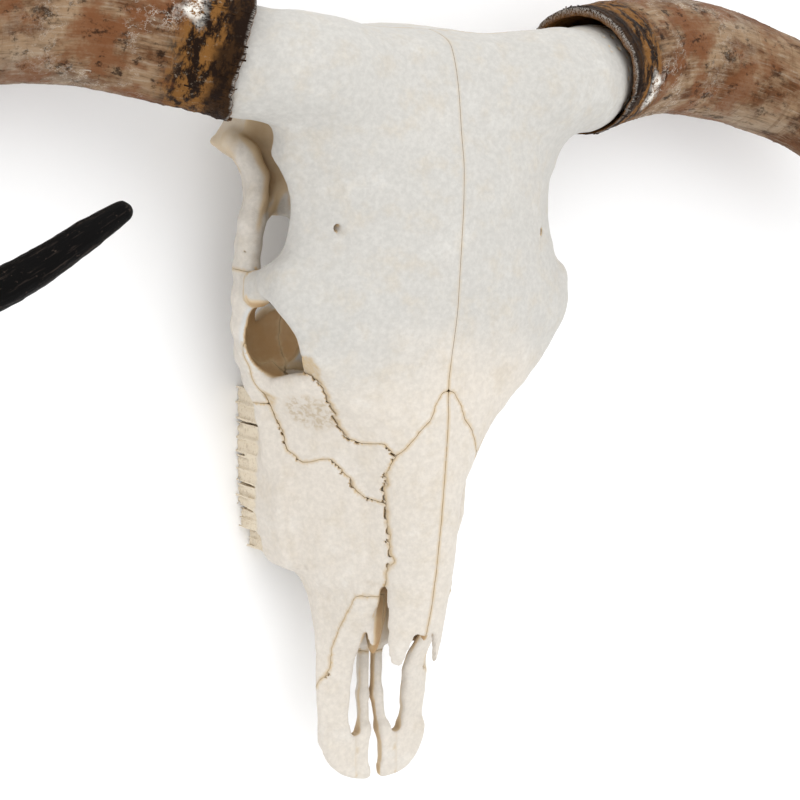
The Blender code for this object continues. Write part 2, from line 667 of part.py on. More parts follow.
def horn_points(curl, start, end, spacing=17.0, rounding=6.0):
    """Rows of centre and radius from start to end along the sheath, whose far end is rounded."""
    table, along = horn_path(curl)
    last = along[-1]
    count = max(3, int((min(end, last) - start) / spacing) + 1)
    places = np.linspace(start, min(end, last), count)
    if end >= last:
        cap = last - rounding * np.array([1.0, 0.6, 0.3, 0.1, 0.0])
        places = np.concatenate([places[places < cap[0] - 1], cap])
    slopes = np.gradient(table, along, axis=0)
    i = np.clip(np.searchsorted(along, places, side="right") - 1, 0, len(along) - 2)
    step = (along[i + 1] - along[i])[:, None]
    t = (places - along[i])[:, None] / step
    rows = (table[i] + (table[i + 1] - table[i]) * t * t * (3 - 2 * t)
            + (t ** 3 - 2 * t * t + t) * step * slopes[i]
            + (t ** 3 - t * t) * step * slopes[i + 1])
    left = last - places
    near = left < rounding
    rows[near, 3] *= np.sqrt(np.clip(1 - ((rounding - left[near]) / rounding) ** 2, 0.03, 1))
    return rows


def tube(name, rows, side, collection):
    """A round bar through the rows' centres, with the rows' radii."""
    curve = bpy.data.curves.new(name, "CURVE")
    curve.dimensions = "3D"
    curve.bevel_depth = MM
    curve.bevel_resolution = HORN_BEVEL
    curve.use_fill_caps = True
    curve.twist_mode = "Z_UP"
    spline = curve.splines.new("POLY")
    spline.points.add(len(rows) - 1)
    for point, (x, s, z, radius) in zip(spline.points, rows):
        point.co = (side * x * MM, -s * MM, z * MM, 1)
        point.radius = radius
    bar = new_object(name + "_curve", curve, collection)
    bpy.context.view_layer.update()
    mesh = bpy.data.meshes.new_from_object(
        bar.evaluated_get(bpy.context.evaluated_depsgraph_get()))
    bpy.data.objects.remove(bar)
    bpy.data.curves.remove(curve)
    work = bmesh.new()
    work.from_mesh(mesh)
    bmesh.ops.remove_doubles(work, verts=work.verts[:], dist=1e-6)
    bmesh.ops.recalc_face_normals(work, faces=work.faces[:])
    work.to_mesh(mesh)
    work.free()
    return new_object(name, mesh, collection)


def horn_hollow(side, word, cutters):
    """The space inside the base of a sheath: wide at the mouth, close on the core's tip."""
    rows = [(128, 20, -61, 41.5), (140, 17.5, -68, 40.5), (155, 14.5, -76, 38.5),
            (178, 9.5, -87, 34), (200, 5, -97, 29.5), (216, 2.8, -102, 25.5),
            (230, 1, -106, 21), (243, -1, -110, 14), (250, -2, -112, 4)]
    hollow = tube(f"horn_hollow_{word}", rows, side, cutters)
    hollow.hide_render = True
    hollow.display_type = "WIRE"
    return hollow


def cut_square(sheath, curl, station, side, keep):
    """Cuts the sheath square to its path at the station; keep is 1 for the part beyond it."""
    before, after = horn_points(curl, station - 1, station + 1)[[0, -1], :3]
    centre = (before + after) / 2
    to_world = np.array([side, -1, 1]) * MM
    direction = (after - before) * to_world
    work = bmesh.new()
    work.from_mesh(sheath.data)
    bmesh.ops.bisect_plane(work, geom=work.verts[:] + work.edges[:] + work.faces[:], dist=1e-7,
                           plane_co=centre * to_world, plane_no=-keep * direction,
                           clear_outer=True)
    open_edges = [edge for edge in work.edges if edge.is_boundary]
    bmesh.ops.holes_fill(work, edges=open_edges, sides=0)
    bmesh.ops.recalc_face_normals(work, faces=work.faces[:])
    work.to_mesh(sheath.data)
    work.free()


def horn_sheaths(collection, cutters):
    spare = 9.0
    half = SUTURE_GAP / 2
    for side, word, curl in ((1, "left", LEFT_CURL), (-1, "right", RIGHT_CURL)):
        for length, start, end in SHEATH_LENGTHS:
            first = max(start - spare, 0)
            sheath = tube(f"horn_{word}_{length}", horn_points(curl, first, end + spare), side,
                          collection)
            if length == "base":
                boolean(sheath, horn_hollow(side, word, cutters), "DIFFERENCE")
            else:
                cut_square(sheath, curl, start + half, side, 1)
            if length != "tip":
                cut_square(sheath, curl, end - half, side, -1)
            is_tip = length == "tip"
            paint(sheath, "horn tip" if is_tip else "horn", HORN_TIP if is_tip else HORN, 0.55)


def paint(thing, name, colour, roughness):
    material = bpy.data.materials.get(name)
    if material is None:
        material = bpy.data.materials.new(name)
        material.use_nodes = True
        shader = material.node_tree.nodes["Principled BSDF"]
        shader.inputs["Base Color"].default_value = (*colour, 1)
        shader.inputs["Roughness"].default_value = roughness
        shader.inputs["Metallic"].default_value = 0.0
    thing.data.materials.clear()
    thing.data.materials.append(material)


def lay_on_floor(collection):
    """Tilts the skull on to its resting plane and centres it over the origin."""
    rest = bpy.data.objects.new("resting_pose", None)
    collection.objects.link(rest)
    angle = math.atan(REST_SLOPE)
    rest.rotation_euler = (angle, 0, 0)
    bodies = [thing for thing in collection.objects if thing.type == "MESH"]
    corners = []
    for thing in bodies:
        points = np.empty(len(thing.data.vertices) * 3)
        thing.data.vertices.foreach_get("co", points)
        points = points.reshape(-1, 3)
        turned = np.stack([points[:, 0],
                           points[:, 1] * math.cos(angle) - points[:, 2] * math.sin(angle),
                           points[:, 1] * math.sin(angle) + points[:, 2] * math.cos(angle)], 1)
        corners += [turned.min(0), turned.max(0)]
        thing.parent = rest
    low = np.min(corners, axis=0)
    high = np.max(corners, axis=0)
    rest.location = (-(low[0] + high[0]) / 2, -(low[1] + high[1]) / 2, -low[2])


def main():
    for thing in list(bpy.data.objects):
        bpy.data.objects.remove(thing)
    model = bpy.data.collections.new("longhorn_skull")
    cutters = bpy.data.collections.new("cutters")
    for collection in (model, cutters):
        bpy.context.scene.collection.children.link(collection)
    bones = part_bones(whole_bone(model, cutters), model, cutters)
    face_bones = ("maxilla", "premaxilla", "lacrimal")
    for name, piece in bones.items():
        if name.startswith(face_bones):
            paint(piece, "face bone", FACE_BONE, 0.6)
        else:
            paint(piece, "bone", BONE, 0.62)
    horn_sheaths(model, cutters)
    lay_on_floor(model)


main()
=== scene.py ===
"""Longhorn skull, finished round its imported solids.

The bone is worked out in millimetres in the skull's own frame: X is the distance from the
midline, s the distance from the poll towards the muzzle, and z the height out of the forehead.
Left and right are the animal's own.
"""

import math

import bpy
import numpy as np
from mathutils import Matrix, Vector


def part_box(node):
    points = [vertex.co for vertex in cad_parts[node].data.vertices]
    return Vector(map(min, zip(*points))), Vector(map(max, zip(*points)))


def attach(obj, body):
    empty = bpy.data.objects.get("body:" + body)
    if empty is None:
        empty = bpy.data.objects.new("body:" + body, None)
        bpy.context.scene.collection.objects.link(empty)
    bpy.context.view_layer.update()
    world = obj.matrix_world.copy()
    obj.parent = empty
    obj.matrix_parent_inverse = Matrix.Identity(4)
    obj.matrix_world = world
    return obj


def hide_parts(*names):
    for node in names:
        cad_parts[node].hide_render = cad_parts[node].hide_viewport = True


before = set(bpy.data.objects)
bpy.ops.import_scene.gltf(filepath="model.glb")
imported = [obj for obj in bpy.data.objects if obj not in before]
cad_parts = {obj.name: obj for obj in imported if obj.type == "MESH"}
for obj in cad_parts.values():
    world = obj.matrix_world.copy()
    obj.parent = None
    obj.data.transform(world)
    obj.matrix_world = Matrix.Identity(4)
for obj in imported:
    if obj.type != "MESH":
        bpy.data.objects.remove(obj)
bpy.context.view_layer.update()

bl_info = {
    "name": "Longhorn skull",
    "version": (1, 0, 0),
    "blender": (4, 5, 0),
    "location": "3D View > Sidebar > Skull",
    "description": "Builds the bones, the horn sheaths and the studio round them",
    "category": "Object",
}

# ---- driving dimensions, millimetres ----
MM = 0.001
HALF_LOW = np.array((0.0, -552.0, -204.0))     # box the left half of the bone is worked out in
HALF_HIGH = np.array((256.0, 24.0, 24.0))
SUTURE_GAP = 0.3
CRISP_ANGLE = 48.0                    # edges that turn by more degrees than this are shaded sharp
SHEATH_PARTS = ("base", "shaft", "bend", "tip")
FACE_BONES = ("maxilla", "premaxilla", "lacrimal")
# Small openings in the bone: centre (X, s, z) and radii.
FORAMINA = (((85, 130, -24), (1.9, 3.4, 9)), ((60, 383, -93), (3.5, 3.6, 2.4)),
            ((116.5, 152, -99), (4, 1.2, 1.2)))
# The groove that runs forwards from the opening in the forehead.
GROOVE = ((84.5, 132, -24), (83, 137, -20), (82.5, 146, -18), (83, 157, -16))
# Rods that fill out the arches and the horn core: points (X, s, z) and a radius at each.
ORBIT_BAR = (((106, 160, -52), (113, 168, -68), (116, 172, -84), (115, 170, -98)),
             (8, 6.5, 5.5, 6))
ARCH_ROOT = (((113, 150, -100), (110, 133, -106), (104, 116, -108), (102, 101, -112),
              (108, 86, -118), (116, 76, -128)), (6, 6.5, 7, 7.5, 8, 8))
CORE_SWELLING = (((122, 25, -58), (142, 22, -69), (158, 18, -77.5), (180, 11.5, -88)),
                 (35.5, 36.5, 34, 29.5))
MUZZLE_REACH = -531.3                 # how far the muzzle's front lies from the skull's origin
TIP_ROUNDING = 6.5
HOLLOW_DEPTH = 108.0
HOLLOW_T = (0, 15, 38, 60, 76, 90, 102, 108)
HOLLOW_RADIUS = (44.6, 42.2, 36.5, 31.5, 27, 21, 12, 3)
HOLLOW_SHIFT = 2.5
RIM_REACH = 14                        # rows start this far before the rim, for its ragged teeth
RAG_SCALE = 47                        # radius of the circle that the rim's teeth are drawn on
KERATIN_COLOURS = (
    (0.255, 0.165, 0.096), (0.100, 0.042, 0.017), (0.330, 0.265, 0.195), (0.175, 0.078, 0.020),
    (0.011, 0.005, 0.0025), (0.0018, 0.0015, 0.0014), (0.050, 0.036, 0.029), (0.260, 0.235, 0.210))
# The camera in the skull's own frame, metres.
CAMERA_PLACE = (-0.93796, -0.02296, 1.41369)
CAMERA_BACK = (-0.52992, 0.13223, 0.83768)
CAMERA_RIGHT = (0.84769, 0.05397, 0.52774)
CAMERA_LENS = 110.0
CAMERA_SENSOR = 36.0
# The studio in the row's frame, metres.
KEY_PLACE = (-0.3, 1.3, 2.2)
KEY_TARGET = (0, 0, 0.08)
KEY_SIZE = 1.6
SKY_TINT = (0.985, 0.992, 1.0, 1)
FLOOR_HALF = 6.0
REST_Z = -188.0             # height of the resting plane at REST_S
REST_S = 50.0
REST_SLOPE = 0.0917         # the plane rises this much for each millimetre towards the muzzle
TOOTH_WEAR = 1.0            # what the resting plane takes off the tips
RIGHT_CURL = 0.0            # how far outwards each horn's end is turned, by side
LEFT_CURL = 42.0

# Stations along the skull (s) of the roof's midline height, and of its edge.
MIDLINE_S = (-12, 0, 28, 62, 88, 121, 177, 223, 243, 269, 319, 343, 392, 421, 450)
MIDLINE_Z = (-50, -29, -16, -8, -2, 0, 0, -5, -7, -4, -5, -7, -11, -17, -22)
EDGE_S = (-10, 20, 50, 80, 95, 110, 129, 143, 160, 179, 191, 204, 224, 236, 250,
          258, 266, 278, 288, 297, 315, 330, 366, 391, 412, 445)
EDGE_X = (104, 106, 110, 115, 112, 110, 109, 110, 117, 124, 120, 111, 98, 88, 73,
          66, 58, 50, 45, 40, 32, 29.5, 27.5, 26, 24, 20)
EDGE_Z = (-48, -30, -36, -52, -56, -54, -48, -42, -40, -38, -35, -33, -32, -33, -33,
          -32, -31, -30, -30, -29, -29, -29, -29, -29, -29, -30)
# Half-width of the face at these stations, one row for each height.
SIDE_S = (225, 245, 270, 300, 330, 360, 380, 400, 430)
SIDE_ROWS = (
    (-150, (90, 84, 80, 80, 79, 70, 58, 45, 44)),
    (-130, (98, 88, 82, 80, 79, 71, 60, 46, 44)),
    (-105, (106, 100, 88, 80, 76, 68, 61, 49, 46)),
    (-80, (104, 101, 82, 69, 62, 57, 54, 50, 49)),
    (-60, (100, 96, 73, 57, 49, 46, 45, 43, 44)),
    (-30, (96, 78, 56, 38, 30, 28, 27, 26, 27)),
)
# The wall of the muzzle is a sheet through three edges: upper (A), middle (B) and lower (C).
WALL_S = (384, 398, 408, 418, 434, 452, 470, 500, 514)
WALL_UPPER_X = (31, 30, 28.5, 28, 28, 27, 26, 26.5, 25)
WALL_UPPER_Z = (-38, -41, -49, -56, -66, -77, -81, -81.5, -80)
WALL_MIDDLE_X = (37, 36, 37, 38, 39, 37, 35, 33, 32)
WALL_MIDDLE_Z = (-52, -52, -58, -63, -72, -81, -84, -84, -82)
WALL_LOWER_X = (44, 43.5, 43.5, 43.5, 43.5, 43.5, 43, 40, 39.5)
WALL_LOWER_Z = (-90, -88, -88, -88, -88, -88, -87, -86, -84)
TOOTH_GAPS_S = (257, 283, 308, 329, 347, 363, 377)
TOOTH_OUTER_S = (257, 350, 377)
TOOTH_OUTER_X = (80, 79, 68)

# Sutures in plan (X, s), from the midline outwards.
FRONTONASAL = ((0, 242), (6, 244), (11, 254), (15, 263), (23, 271), (29, 281), (33, 288))
FRONTOLACRIMAL = ((33, 288), (41, 280), (51, 281), (57, 279), (66, 266), (77, 251),
                  (88, 236), (98, 221))
NASOMAXILLARY = ((33, 288), (34.5, 296), (33, 305), (30, 326), (28, 348), (26.3, 366))
LACRIMOMAXILLARY = ((30, 326), (39, 323), (44, 319), (49, 309), (59, 298), (70, 302),
                    (78, 296), (85, 275), (95, 256), (118, 236))
# The premaxilla's suture on the wall of the muzzle (s, z).
PREMAXILLARY = ((392, -30), (396, -50), (410, -60), (424, -67), (438, -74), (452, -80),
                (470, -86), (478, -100))
# Under surfaces of the bones of the roof and the face (X, z).
FRONTAL_UNDERSIDE = ((0, -58), (85, -58), (125, -88), (150, -135), (300, -200))
NASAL_UNDERSIDE = ((0, -36), (60, -36))
LACRIMAL_UNDERSIDE = ((20, -40), (50, -72), (62, -92), (90, -99), (130, -92))
BONE_FRONT = 236            # station between the braincase and the two maxillae


# ---- distance functions: negative inside, millimetres ----
def blend(a, b, radius):
    """Union of two distances with a fillet."""
    mix = np.clip(0.5 + 0.5 * (b - a) / radius, 0, 1)
    return b + (a - b) * mix - radius * mix * (1 - mix)


def common(a, b, radius):
    """Intersection with a rounded edge."""
    return -blend(-a, -b, radius)


def carve(a, b, radius):
    """Takes b out of a, with a rounded edge."""
    return -blend(-a, b, radius)


def ellipsoid(p, centre, radii):
    """Distance from an ellipsoid, close enough near its surface."""
    q = [(p[i] - centre[i]) / radii[i] for i in range(3)]
    near = np.sqrt(sum(c * c for c in q)) + 1e-6
    slope = np.sqrt(sum((q[i] / radii[i]) ** 2 for i in range(3))) + 1e-6
    return near * (near - 1) / slope


def taper(p, a, b, radius_a, radius_b, scale=(1, 1, 1)):
    """A rod with round ends from a to b; scale stretches its section."""
    start = np.array(a, float) / scale
    along = np.array(b, float) / scale - start
    q = [p[i] / scale[i] - start[i] for i in range(3)]
    t = np.clip(sum(q[i] * along[i] for i in range(3)) / (along @ along), 0, 1)
    gap = np.sqrt(sum((q[i] - t * along[i]) ** 2 for i in range(3)))
    return (gap - radius_a - (radius_b - radius_a) * t) * min(scale)


def rod(p, points, radii, radius=6, scale=(1, 1, 1)):
    """Rods end to end through the points."""
    out = taper(p, points[0], points[1], radii[0], radii[1], scale)
    for i in range(1, len(points) - 1):
        out = blend(out, taper(p, points[i], points[i + 1], radii[i], radii[i + 1], scale), radius)
    return out


def block(p, centre, half, corner):
    """A box with rounded corners."""
    q = [np.abs(p[i] - centre[i]) - (half[i] - corner) for i in range(3)]
    outside = np.sqrt(sum(np.maximum(c, 0) ** 2 for c in q))
    return outside + np.minimum(np.maximum(np.maximum(q[0], q[1]), q[2]), 0) - corner


def through(s, stations, values):
    """Smooth curve through the values that doesn't overshoot between them."""
    x = np.array(stations, float)
    y = np.array(values, float)
    step = np.diff(x)
    rise = np.diff(y) / step
    same_way = rise[:-1] * rise[1:] > 0
    slope = np.zeros_like(y)
    slope[1:-1] = np.where(same_way, 2 * rise[:-1] * rise[1:] / (rise[:-1] + rise[1:] + 1e-12), 0)
    slope[0] = rise[0]
    slope[-1] = rise[-1]
    s = np.clip(s, x[0], x[-1])
    i = np.clip(np.searchsorted(x, s, side="right") - 1, 0, len(step) - 1)
    t = (s - x[i]) / step[i]
    ease = t * t * (3 - 2 * t)
    return (y[i] + (y[i + 1] - y[i]) * ease
            + (t ** 3 - 2 * t * t + t) * step[i] * slope[i]
            + (t ** 3 - t * t) * step[i] * slope[i + 1])


def resting_height(s):
    """Height of the plane that the skull rests on."""
    return REST_Z + (s - REST_S) * REST_SLOPE


# ---- the regions of the skull ----
def roof_height(X, s):
    """The forehead and nose: flat near the midline, falling away towards the edge."""
    middle = through(s, MIDLINE_S, MIDLINE_Z)
    edge_x = through(s, EDGE_S, EDGE_X)
    edge_z = through(s, EDGE_S, EDGE_Z)
    return middle - (middle - edge_z) * np.minimum(X / edge_x, 1.25) ** 2.6


def face_half_width(z, s):
    """Half-width of the face at a height, between the rows of stations."""
    heights = [row[0] for row in SIDE_ROWS]
    widths = [through(s, SIDE_S, row[1]) for row in SIDE_ROWS]
    z = np.clip(z, heights[0], heights[-1])
    out = widths[0] + 0 * z
    for i in range(len(heights) - 1):
        t = np.clip((z - heights[i]) / (heights[i + 1] - heights[i]), 0, 1)
        out = out + (widths[i + 1] - widths[i]) * t
    return out


def forehead(X, s, z):
    """The plate of the forehead, out to its edges."""
    edge = through(s, EDGE_S, EDGE_X)
    top = roof_height(X, s)
    upper = (z - top) * 0.86
    under = top - 24 - 0.35 * np.maximum(0, edge - X) - z
    plate = common(common(upper, X - edge, 7), under, 8)
    plate = common(plate, -(s + 6), 10)
    return common(plate, s - 262, 8)


def cranium(p):
    """The case of the brain, with the nape hollowed out of its back."""
    body = blend(ellipsoid(p, (0, 82, -104), (84, 92, 66)),
                 block(p, (0, 36, -100), (84, 40, 60), 26), 20)
    return carve(body, taper(p, (0, -14, -118), (46, -8, -112), 20, 16), 16)


def face(X, s, z):
    """The nose, the upper jaws above the teeth, and the palate."""
    palate = -119 - 10 * np.clip((s - 380) / 40, -0.2, 0) + 28 * np.clip((s - 385) / 60, 0, 1)
    body = common((z - roof_height(X, s)) * 0.86, (X - face_half_width(z, s)) * 0.86, 4)
    body = common(body, palate - z, 6)
    body = common(body, 234 - s + 0.25 * np.maximum(0, -60 - z), 8)
    upper_part = common(body, s - 386 - 0.25 * (-36 - z), 6)
    floor = common(common(body, z + 87, 3), s - 444, 4)
    return blend(upper_part, floor, 3)


def cheek_teeth(gap):
    """Whether it is a molar, then middle, half length, outer face and low end of each tooth."""
    for a, b in zip(TOOTH_GAPS_S[:-1], TOOTH_GAPS_S[1:]):
        middle = (a + b) / 2
        wear = 0.0 if a < 340 else 1.6 + 0.12 * (a - 340)
        yield (a < 325, middle, (b - a) / 2 - gap, np.interp(middle, TOOTH_OUTER_S, TOOTH_OUTER_X),
               resting_height(middle) + wear)


def tooth_row(X, s, z):
    """Six cheek teeth, each a block with upright ridges and a worn groove."""
    out = None
    for molar, middle, half, outer, low in cheek_teeth(0.6):
        depth = 10 if molar else 8.5
        tooth = block((X, s, z), (outer - depth, middle, (low - 112) / 2),
                      (depth, half, (-112 - low) / 2), 3)
        for place in ((-1, 0, 1) if molar else (-1, 1)):
            ridge = middle + place * (half - 2.6)
            tooth = blend(tooth, taper((X, s, z), (outer - 0.5, ridge, -122),
                                       (outer - 1, ridge, low + 3), 1.9, 1.5), 2)
        out = tooth if out is None else np.minimum(out, tooth)
    return out


def upper_jaw(X, s, z):
    """The ridge that carries the teeth, and the crest of the cheek."""
    row_x = np.interp(s, (240, 255, 350, 377, 395), (70, 70, 69, 61, 54))
    ridge = common(np.abs(X - row_x) - 12.5, common(-132 - z, z + 95, 3), 6)
    ridge = common(ridge, np.abs(s - 316) - 70, 9)
    crest = rod((X, s, z), ((98, 246, -107), (88, 272, -110), (82, 304, -111)), (7, 6, 5))
    return blend(blend(ridge, tooth_row(X, s, z), 2.2), crest, 10)


def eye_socket(p):
    """The hollow of the eye."""
    return blend(ellipsoid(p, (114, 206, -67), (40, 26, 29)),
                 ellipsoid(p, (86, 203, -66), (30, 21, 20)), 12)


def eye_bowl(p):
    """The floor of the eye socket, hollowed out behind the arch's thin rim."""
    return ellipsoid(p, (97, 208, -84), (19.5, 26, 21))


def orbit_floor(p):
    """The finer and wider form of the bowl, which leaves the rim thin."""
    return ellipsoid(p, (96, 209, -84), (22, 29, 23))


def temple_hollow(p):
    """The hollow between the arch and the side of the braincase."""
    return blend(ellipsoid(p, (112, 122, -88), (26, 38, 32)),
                 ellipsoid(p, (94, 152, -108), (25, 25, 50)), 12)


def temple_back(p):
    """The rear of the temple hollow, under the edge of the forehead."""
    return ellipsoid(p, (103, 88, -99), (23, 38, 25))


def cheek_arch(p):
    """The arch under the eye, and the strut from it to the forehead."""
    lower = rod(p, ((96, 118, -118), (104, 132, -115), (109, 148, -111), (112, 165, -107),
                    (112.5, 185, -104), (111.5, 205, -104), (106, 226, -106), (96, 246, -110)),
                (9, 8, 7, 7, 8, 8.5, 9, 9), 8)
    upper = rod(p, ((104, 132, -106), (111, 150, -102), (112.5, 165, -99), (113, 185, -97),
                    (113, 203, -96), (109, 222, -97), (100, 238, -98), (88, 247, -92)),
                (6, 6, 6, 6.5, 6.5, 6.5, 7, 8), 8)
    strut = rod(p, ((112, 164, -45), (114, 172, -62), (114.5, 180, -80), (112, 186, -98)),
                (10, 8, 8, 9), 8)
    return blend(blend(lower, upper, 6), strut, 8)


def temporal_knob(p):
    """The lump behind the ear and the ridge that runs from it into the cheek arch."""
    stem = rod(p, ((92, 40, -112), (102, 56, -130), (106, 72, -142)), (16, 12, 11), 8)
    root = taper(p, (78, 58, -120), (96, 72, -140), 22, 14)
    lump = taper(p, (100, 77, -142), (121, 78, -144), 13, 3.5)
    ridge = rod(p, ((110, 78, -136), (102, 88, -130), (93, 98, -125), (91, 110, -122),
                    (97, 122, -118)), (9, 8, 8, 8, 8), 8)
    shelf = ellipsoid(p, (80, 104, -124), (26, 25, 15))
    return blend(blend(blend(blend(stem, root, 12), lump, 8), ridge, 8), shelf, 8)


def horn_core(p):
    """The bone inside the horn."""
    return rod(p, ((92, 25, -46), (118, 22, -56), (155, 14, -76), (200, 5, -97), (230, 1, -106)),
               (36, 36.5, 33.5, 26, 17), 4)


def skull_base(body, p):
    """Adds the condyles, the lumps and the openings of the underside."""
    body = blend(body, rod(p, ((0, 22, -156), (0, 80, -150), (0, 150, -138)), (20, 15, 15), 10), 14)
    body = blend(body, ellipsoid(p, (26, 8, -155), (17, 17, 20)), 8)
    body = blend(body, rod(p, ((62, 36, -140), (57, 44, -168), (54, 50, -183.5)), (12, 8, 4.5)), 10)
    body = blend(body, ellipsoid(p, (46, 76, -160), (13, 20, 14)), 8)
    body = blend(body, temporal_knob(p), 10)
    body = carve(body, taper(p, (122, 92, -138), (86, 92, -134), 5.5, 3.5), 3)
    body = carve(body, taper(p, (0, -20, -142), (0, 40, -132), 17, 13), 5)
    wings = rod(p, ((27, 170, -132), (27, 205, -140), (26, 232, -136)), (6, 6, 6), 5, (1, 1, 3))
    body = blend(body, wings, 8)
    body = blend(body, block(p, (24, 238, -122), (30, 16, 8), 6), 8)
    return carve(body, taper(p, (0, 212, -124), (0, 246, -98), 17, 11), 6)


def muzzle_wall(X, s, z):
    """The thin side wall of the muzzle."""
    edges = []
    for x_values, z_values in ((WALL_UPPER_X, WALL_UPPER_Z), (WALL_MIDDLE_X, WALL_MIDDLE_Z),
                               (WALL_LOWER_X, WALL_LOWER_Z)):
        edges.append((through(s, WALL_S, x_values), through(s, WALL_S, z_values)))
    thickness = np.interp(s, (384, 430, 470, 514), (3.4, 3.8, 4.4, 4.6))
    out = None
    for (ax, az), (bx, bz) in zip(edges[:-1], edges[1:]):
        dx = bx - ax
        dz = bz - az
        t = np.clip(((X - ax) * dx + (z - az) * dz) / (dx * dx + dz * dz), 0, 1)
        sheet = np.sqrt((X - ax - t * dx) ** 2 + (z - az - t * dz) ** 2) - thickness
        out = sheet if out is None else blend(out, sheet, 3)
    return common(out, np.abs(s - 449) - 65, 4)


def muzzle_end(X, s, z):
    """The flat front of the premaxilla and its inner bar."""
    along = np.maximum(s - 502, 0)
    rounding = (np.abs(X - 5) / 39.5) ** 2.3 + (along / 39) ** 2.3
    outline = (np.maximum(rounding, 1e-6) ** (1 / 2.3) - 1) * 34
    clear_of_middle = through(s, (500, 515, 527, 534, 541), (4, 5.5, 6, 4, 3.5)) - X
    height = np.interp(s, (500, 525, 541), (-82, -80.5, -77))
    half = np.interp(s, (500, 525, 541), (5, 5, 4))
    plate = common(outline, common(np.abs(z - height) - half, clear_of_middle, 3), 4)
    plate = common(plate, 500 - s, 6)
    bar = rod((X, s, z), ((6.0, 438, -93), (6.2, 480, -90), (8, 505, -83), (12, 514, -81)),
              (4.8, 4.6, 4.6, 4.6), 4)
    return blend(plate, bar, 4)


def nasal_roof(X, s, z):
    """Thin arched roof of the nose, with a notch between its inner and outer points."""
    top = roof_height(X, s)
    shell = common((z - top) * 0.86, top - 6.5 - 0.1 * np.maximum(0, 400 - s) - z, 3)
    width = np.interp(s, (360, 391, 412, 432, 446), (26.5, 25.5, 23.5, 21, 17.5))
    shell = common(shell, X - width, 3)
    end = 419 + 24 * np.clip((X - 7.5) / 6.5, 0, 1) ** 1.3 + 0.3 * np.clip(7 - X, 0, 7)
    return common(common(shell, s - end, 3), 330 - s, 4)


def bone(X, s, z):
    """The whole skull, less the gaps between its bones."""
    p = (X, s, z)
    body = blend(forehead(X, s, z), cranium(p), 16)
    body = blend(body, block(p, (0, 180, -92), (50, 85, 46), 18), 18)
    body = blend(body, face(X, s, z), 3.5)
    body = blend(body, ellipsoid(p, (64, 222, -114), (40, 38, 26)), 10)
    body = blend(body, upper_jaw(X, s, z), 6)
    body = carve(body, eye_socket(p), 6)
    body = carve(body, temple_hollow(p), 8)
    body = blend(body, cheek_arch(p), 8)
    body = blend(body, horn_core(p), 22)
    body = skull_base(body, p)
    body = carve(carve(body, eye_bowl(p), 2.5), temple_back(p), 5)
    cavity = ellipsoid(p, (0, 404, -54), (22, 58, 33))
    side_room = face_half_width(z, s) - 6
    airway = common(X - side_room, common(np.abs(z + 56) - 29, 388 - s, 6), 4)
    body = carve(body, blend(cavity, airway, 6), 3)
    body = blend(body, muzzle_wall(X, s, z), 3)
    body = blend(body, nasal_roof(X, s, z), 2.5)
    fissure = rod(p, ((14, 450, -84), (16.5, 470, -84), (17.5, 492, -84), (17.5, 504, -84)),
                  (4.0, 6.0, 5.8, 4.0), 4, (1, 1, 5))
    body = blend(body, muzzle_end(X, s, z), 4)
    return carve(body, fissure, 2)


def fine_bone(X, s, z):
    """The skull with the small openings and the inner scrolls that the solids leave out."""
    p = (X, s, z)
    body = bone(X, s, z)
    scroll = ellipsoid(p, (14, 398, -66), (5.5, 46, 12))
    scroll = blend(scroll, ellipsoid(p, (22, 392, -52), (9, 42, 4)), 6)
    ridge = common(common(X - 1.6, z + 74, 2), np.abs(s - 400) - 44, 4)
    body = blend(blend(body, rod(p, *ORBIT_BAR, 8), 5), rod(p, *ARCH_ROOT, 8), 5)
    body = blend(body, rod(p, *CORE_SWELLING, 4), 6)
    body = carve(body, orbit_floor(p), 1.5)
    body = blend(body, scroll, 4)
    body = blend(body, ridge, 3)
    for centre, radii in FORAMINA:
        body = carve(body, ellipsoid(p, centre, radii), 0.8)
    body = carve(body, rod(p, GROOVE, (2.0, 1.6, 1.4, 0.8), 2), 1.6)
    body = blend(body, tooth_folds(X, s, z), 1.2)
    return np.maximum(body, resting_height(s) + TOOTH_WEAR - z)


def tooth_folds(X, s, z):
    """Upright lobes and sharp styles on the cheek side of the teeth."""
    out = None
    shapes = [(place, 2.2, 1.5, 0.9) for place in (-0.94, 0.0, 0.94)]
    shapes += [(place, -2.2, 4.4, 3.6) for place in (-0.5, 0.5)]
    for _, middle, half, outer, low in cheek_teeth(0.9):
        for place, proud, thick, thin in shapes:
            centre = middle + place * half
            fold = taper((X, s, z), (outer + proud - 1, centre, -118),
                         (outer + proud, centre, low + 1), thick, thin)
            out = fold if out is None else np.minimum(out, fold)
    return out


# ---- meshing ----
def sample_half(step):
    """Distances on a grid of the animal's left half, worked out only where the surface passes."""
    coarse = 8
    block_size = step * coarse
    low = HALF_LOW
    count = np.ceil((HALF_HIGH - low) / block_size).astype(int)
    middles = [low[i] + block_size * (np.arange(count[i]) + 0.5) for i in range(3)]
    rough = half_distances(*np.meshgrid(*middles, indexing="ij"))
    field = np.full([n * coarse + 1 for n in count], 1e3)
    spread = rough
    for i in range(3):
        spread = np.repeat(spread, coarse, i)
    field[:-1, :-1, :-1] = spread
    starts = np.argwhere(np.abs(rough) < block_size * 1.15) * coarse
    offsets = np.array(list(np.ndindex(coarse + 1, coarse + 1, coarse + 1)))
    for chunk in np.array_split(starts, max(1, len(starts) // 700)):
        cells = (chunk[:, None] + offsets[None]).reshape(-1, 3)
        place = [low[i] + step * cells[:, i] for i in range(3)]
        field[cells[:, 0], cells[:, 1], cells[:, 2]] = half_distances(*place)
    return field, rough, block_size


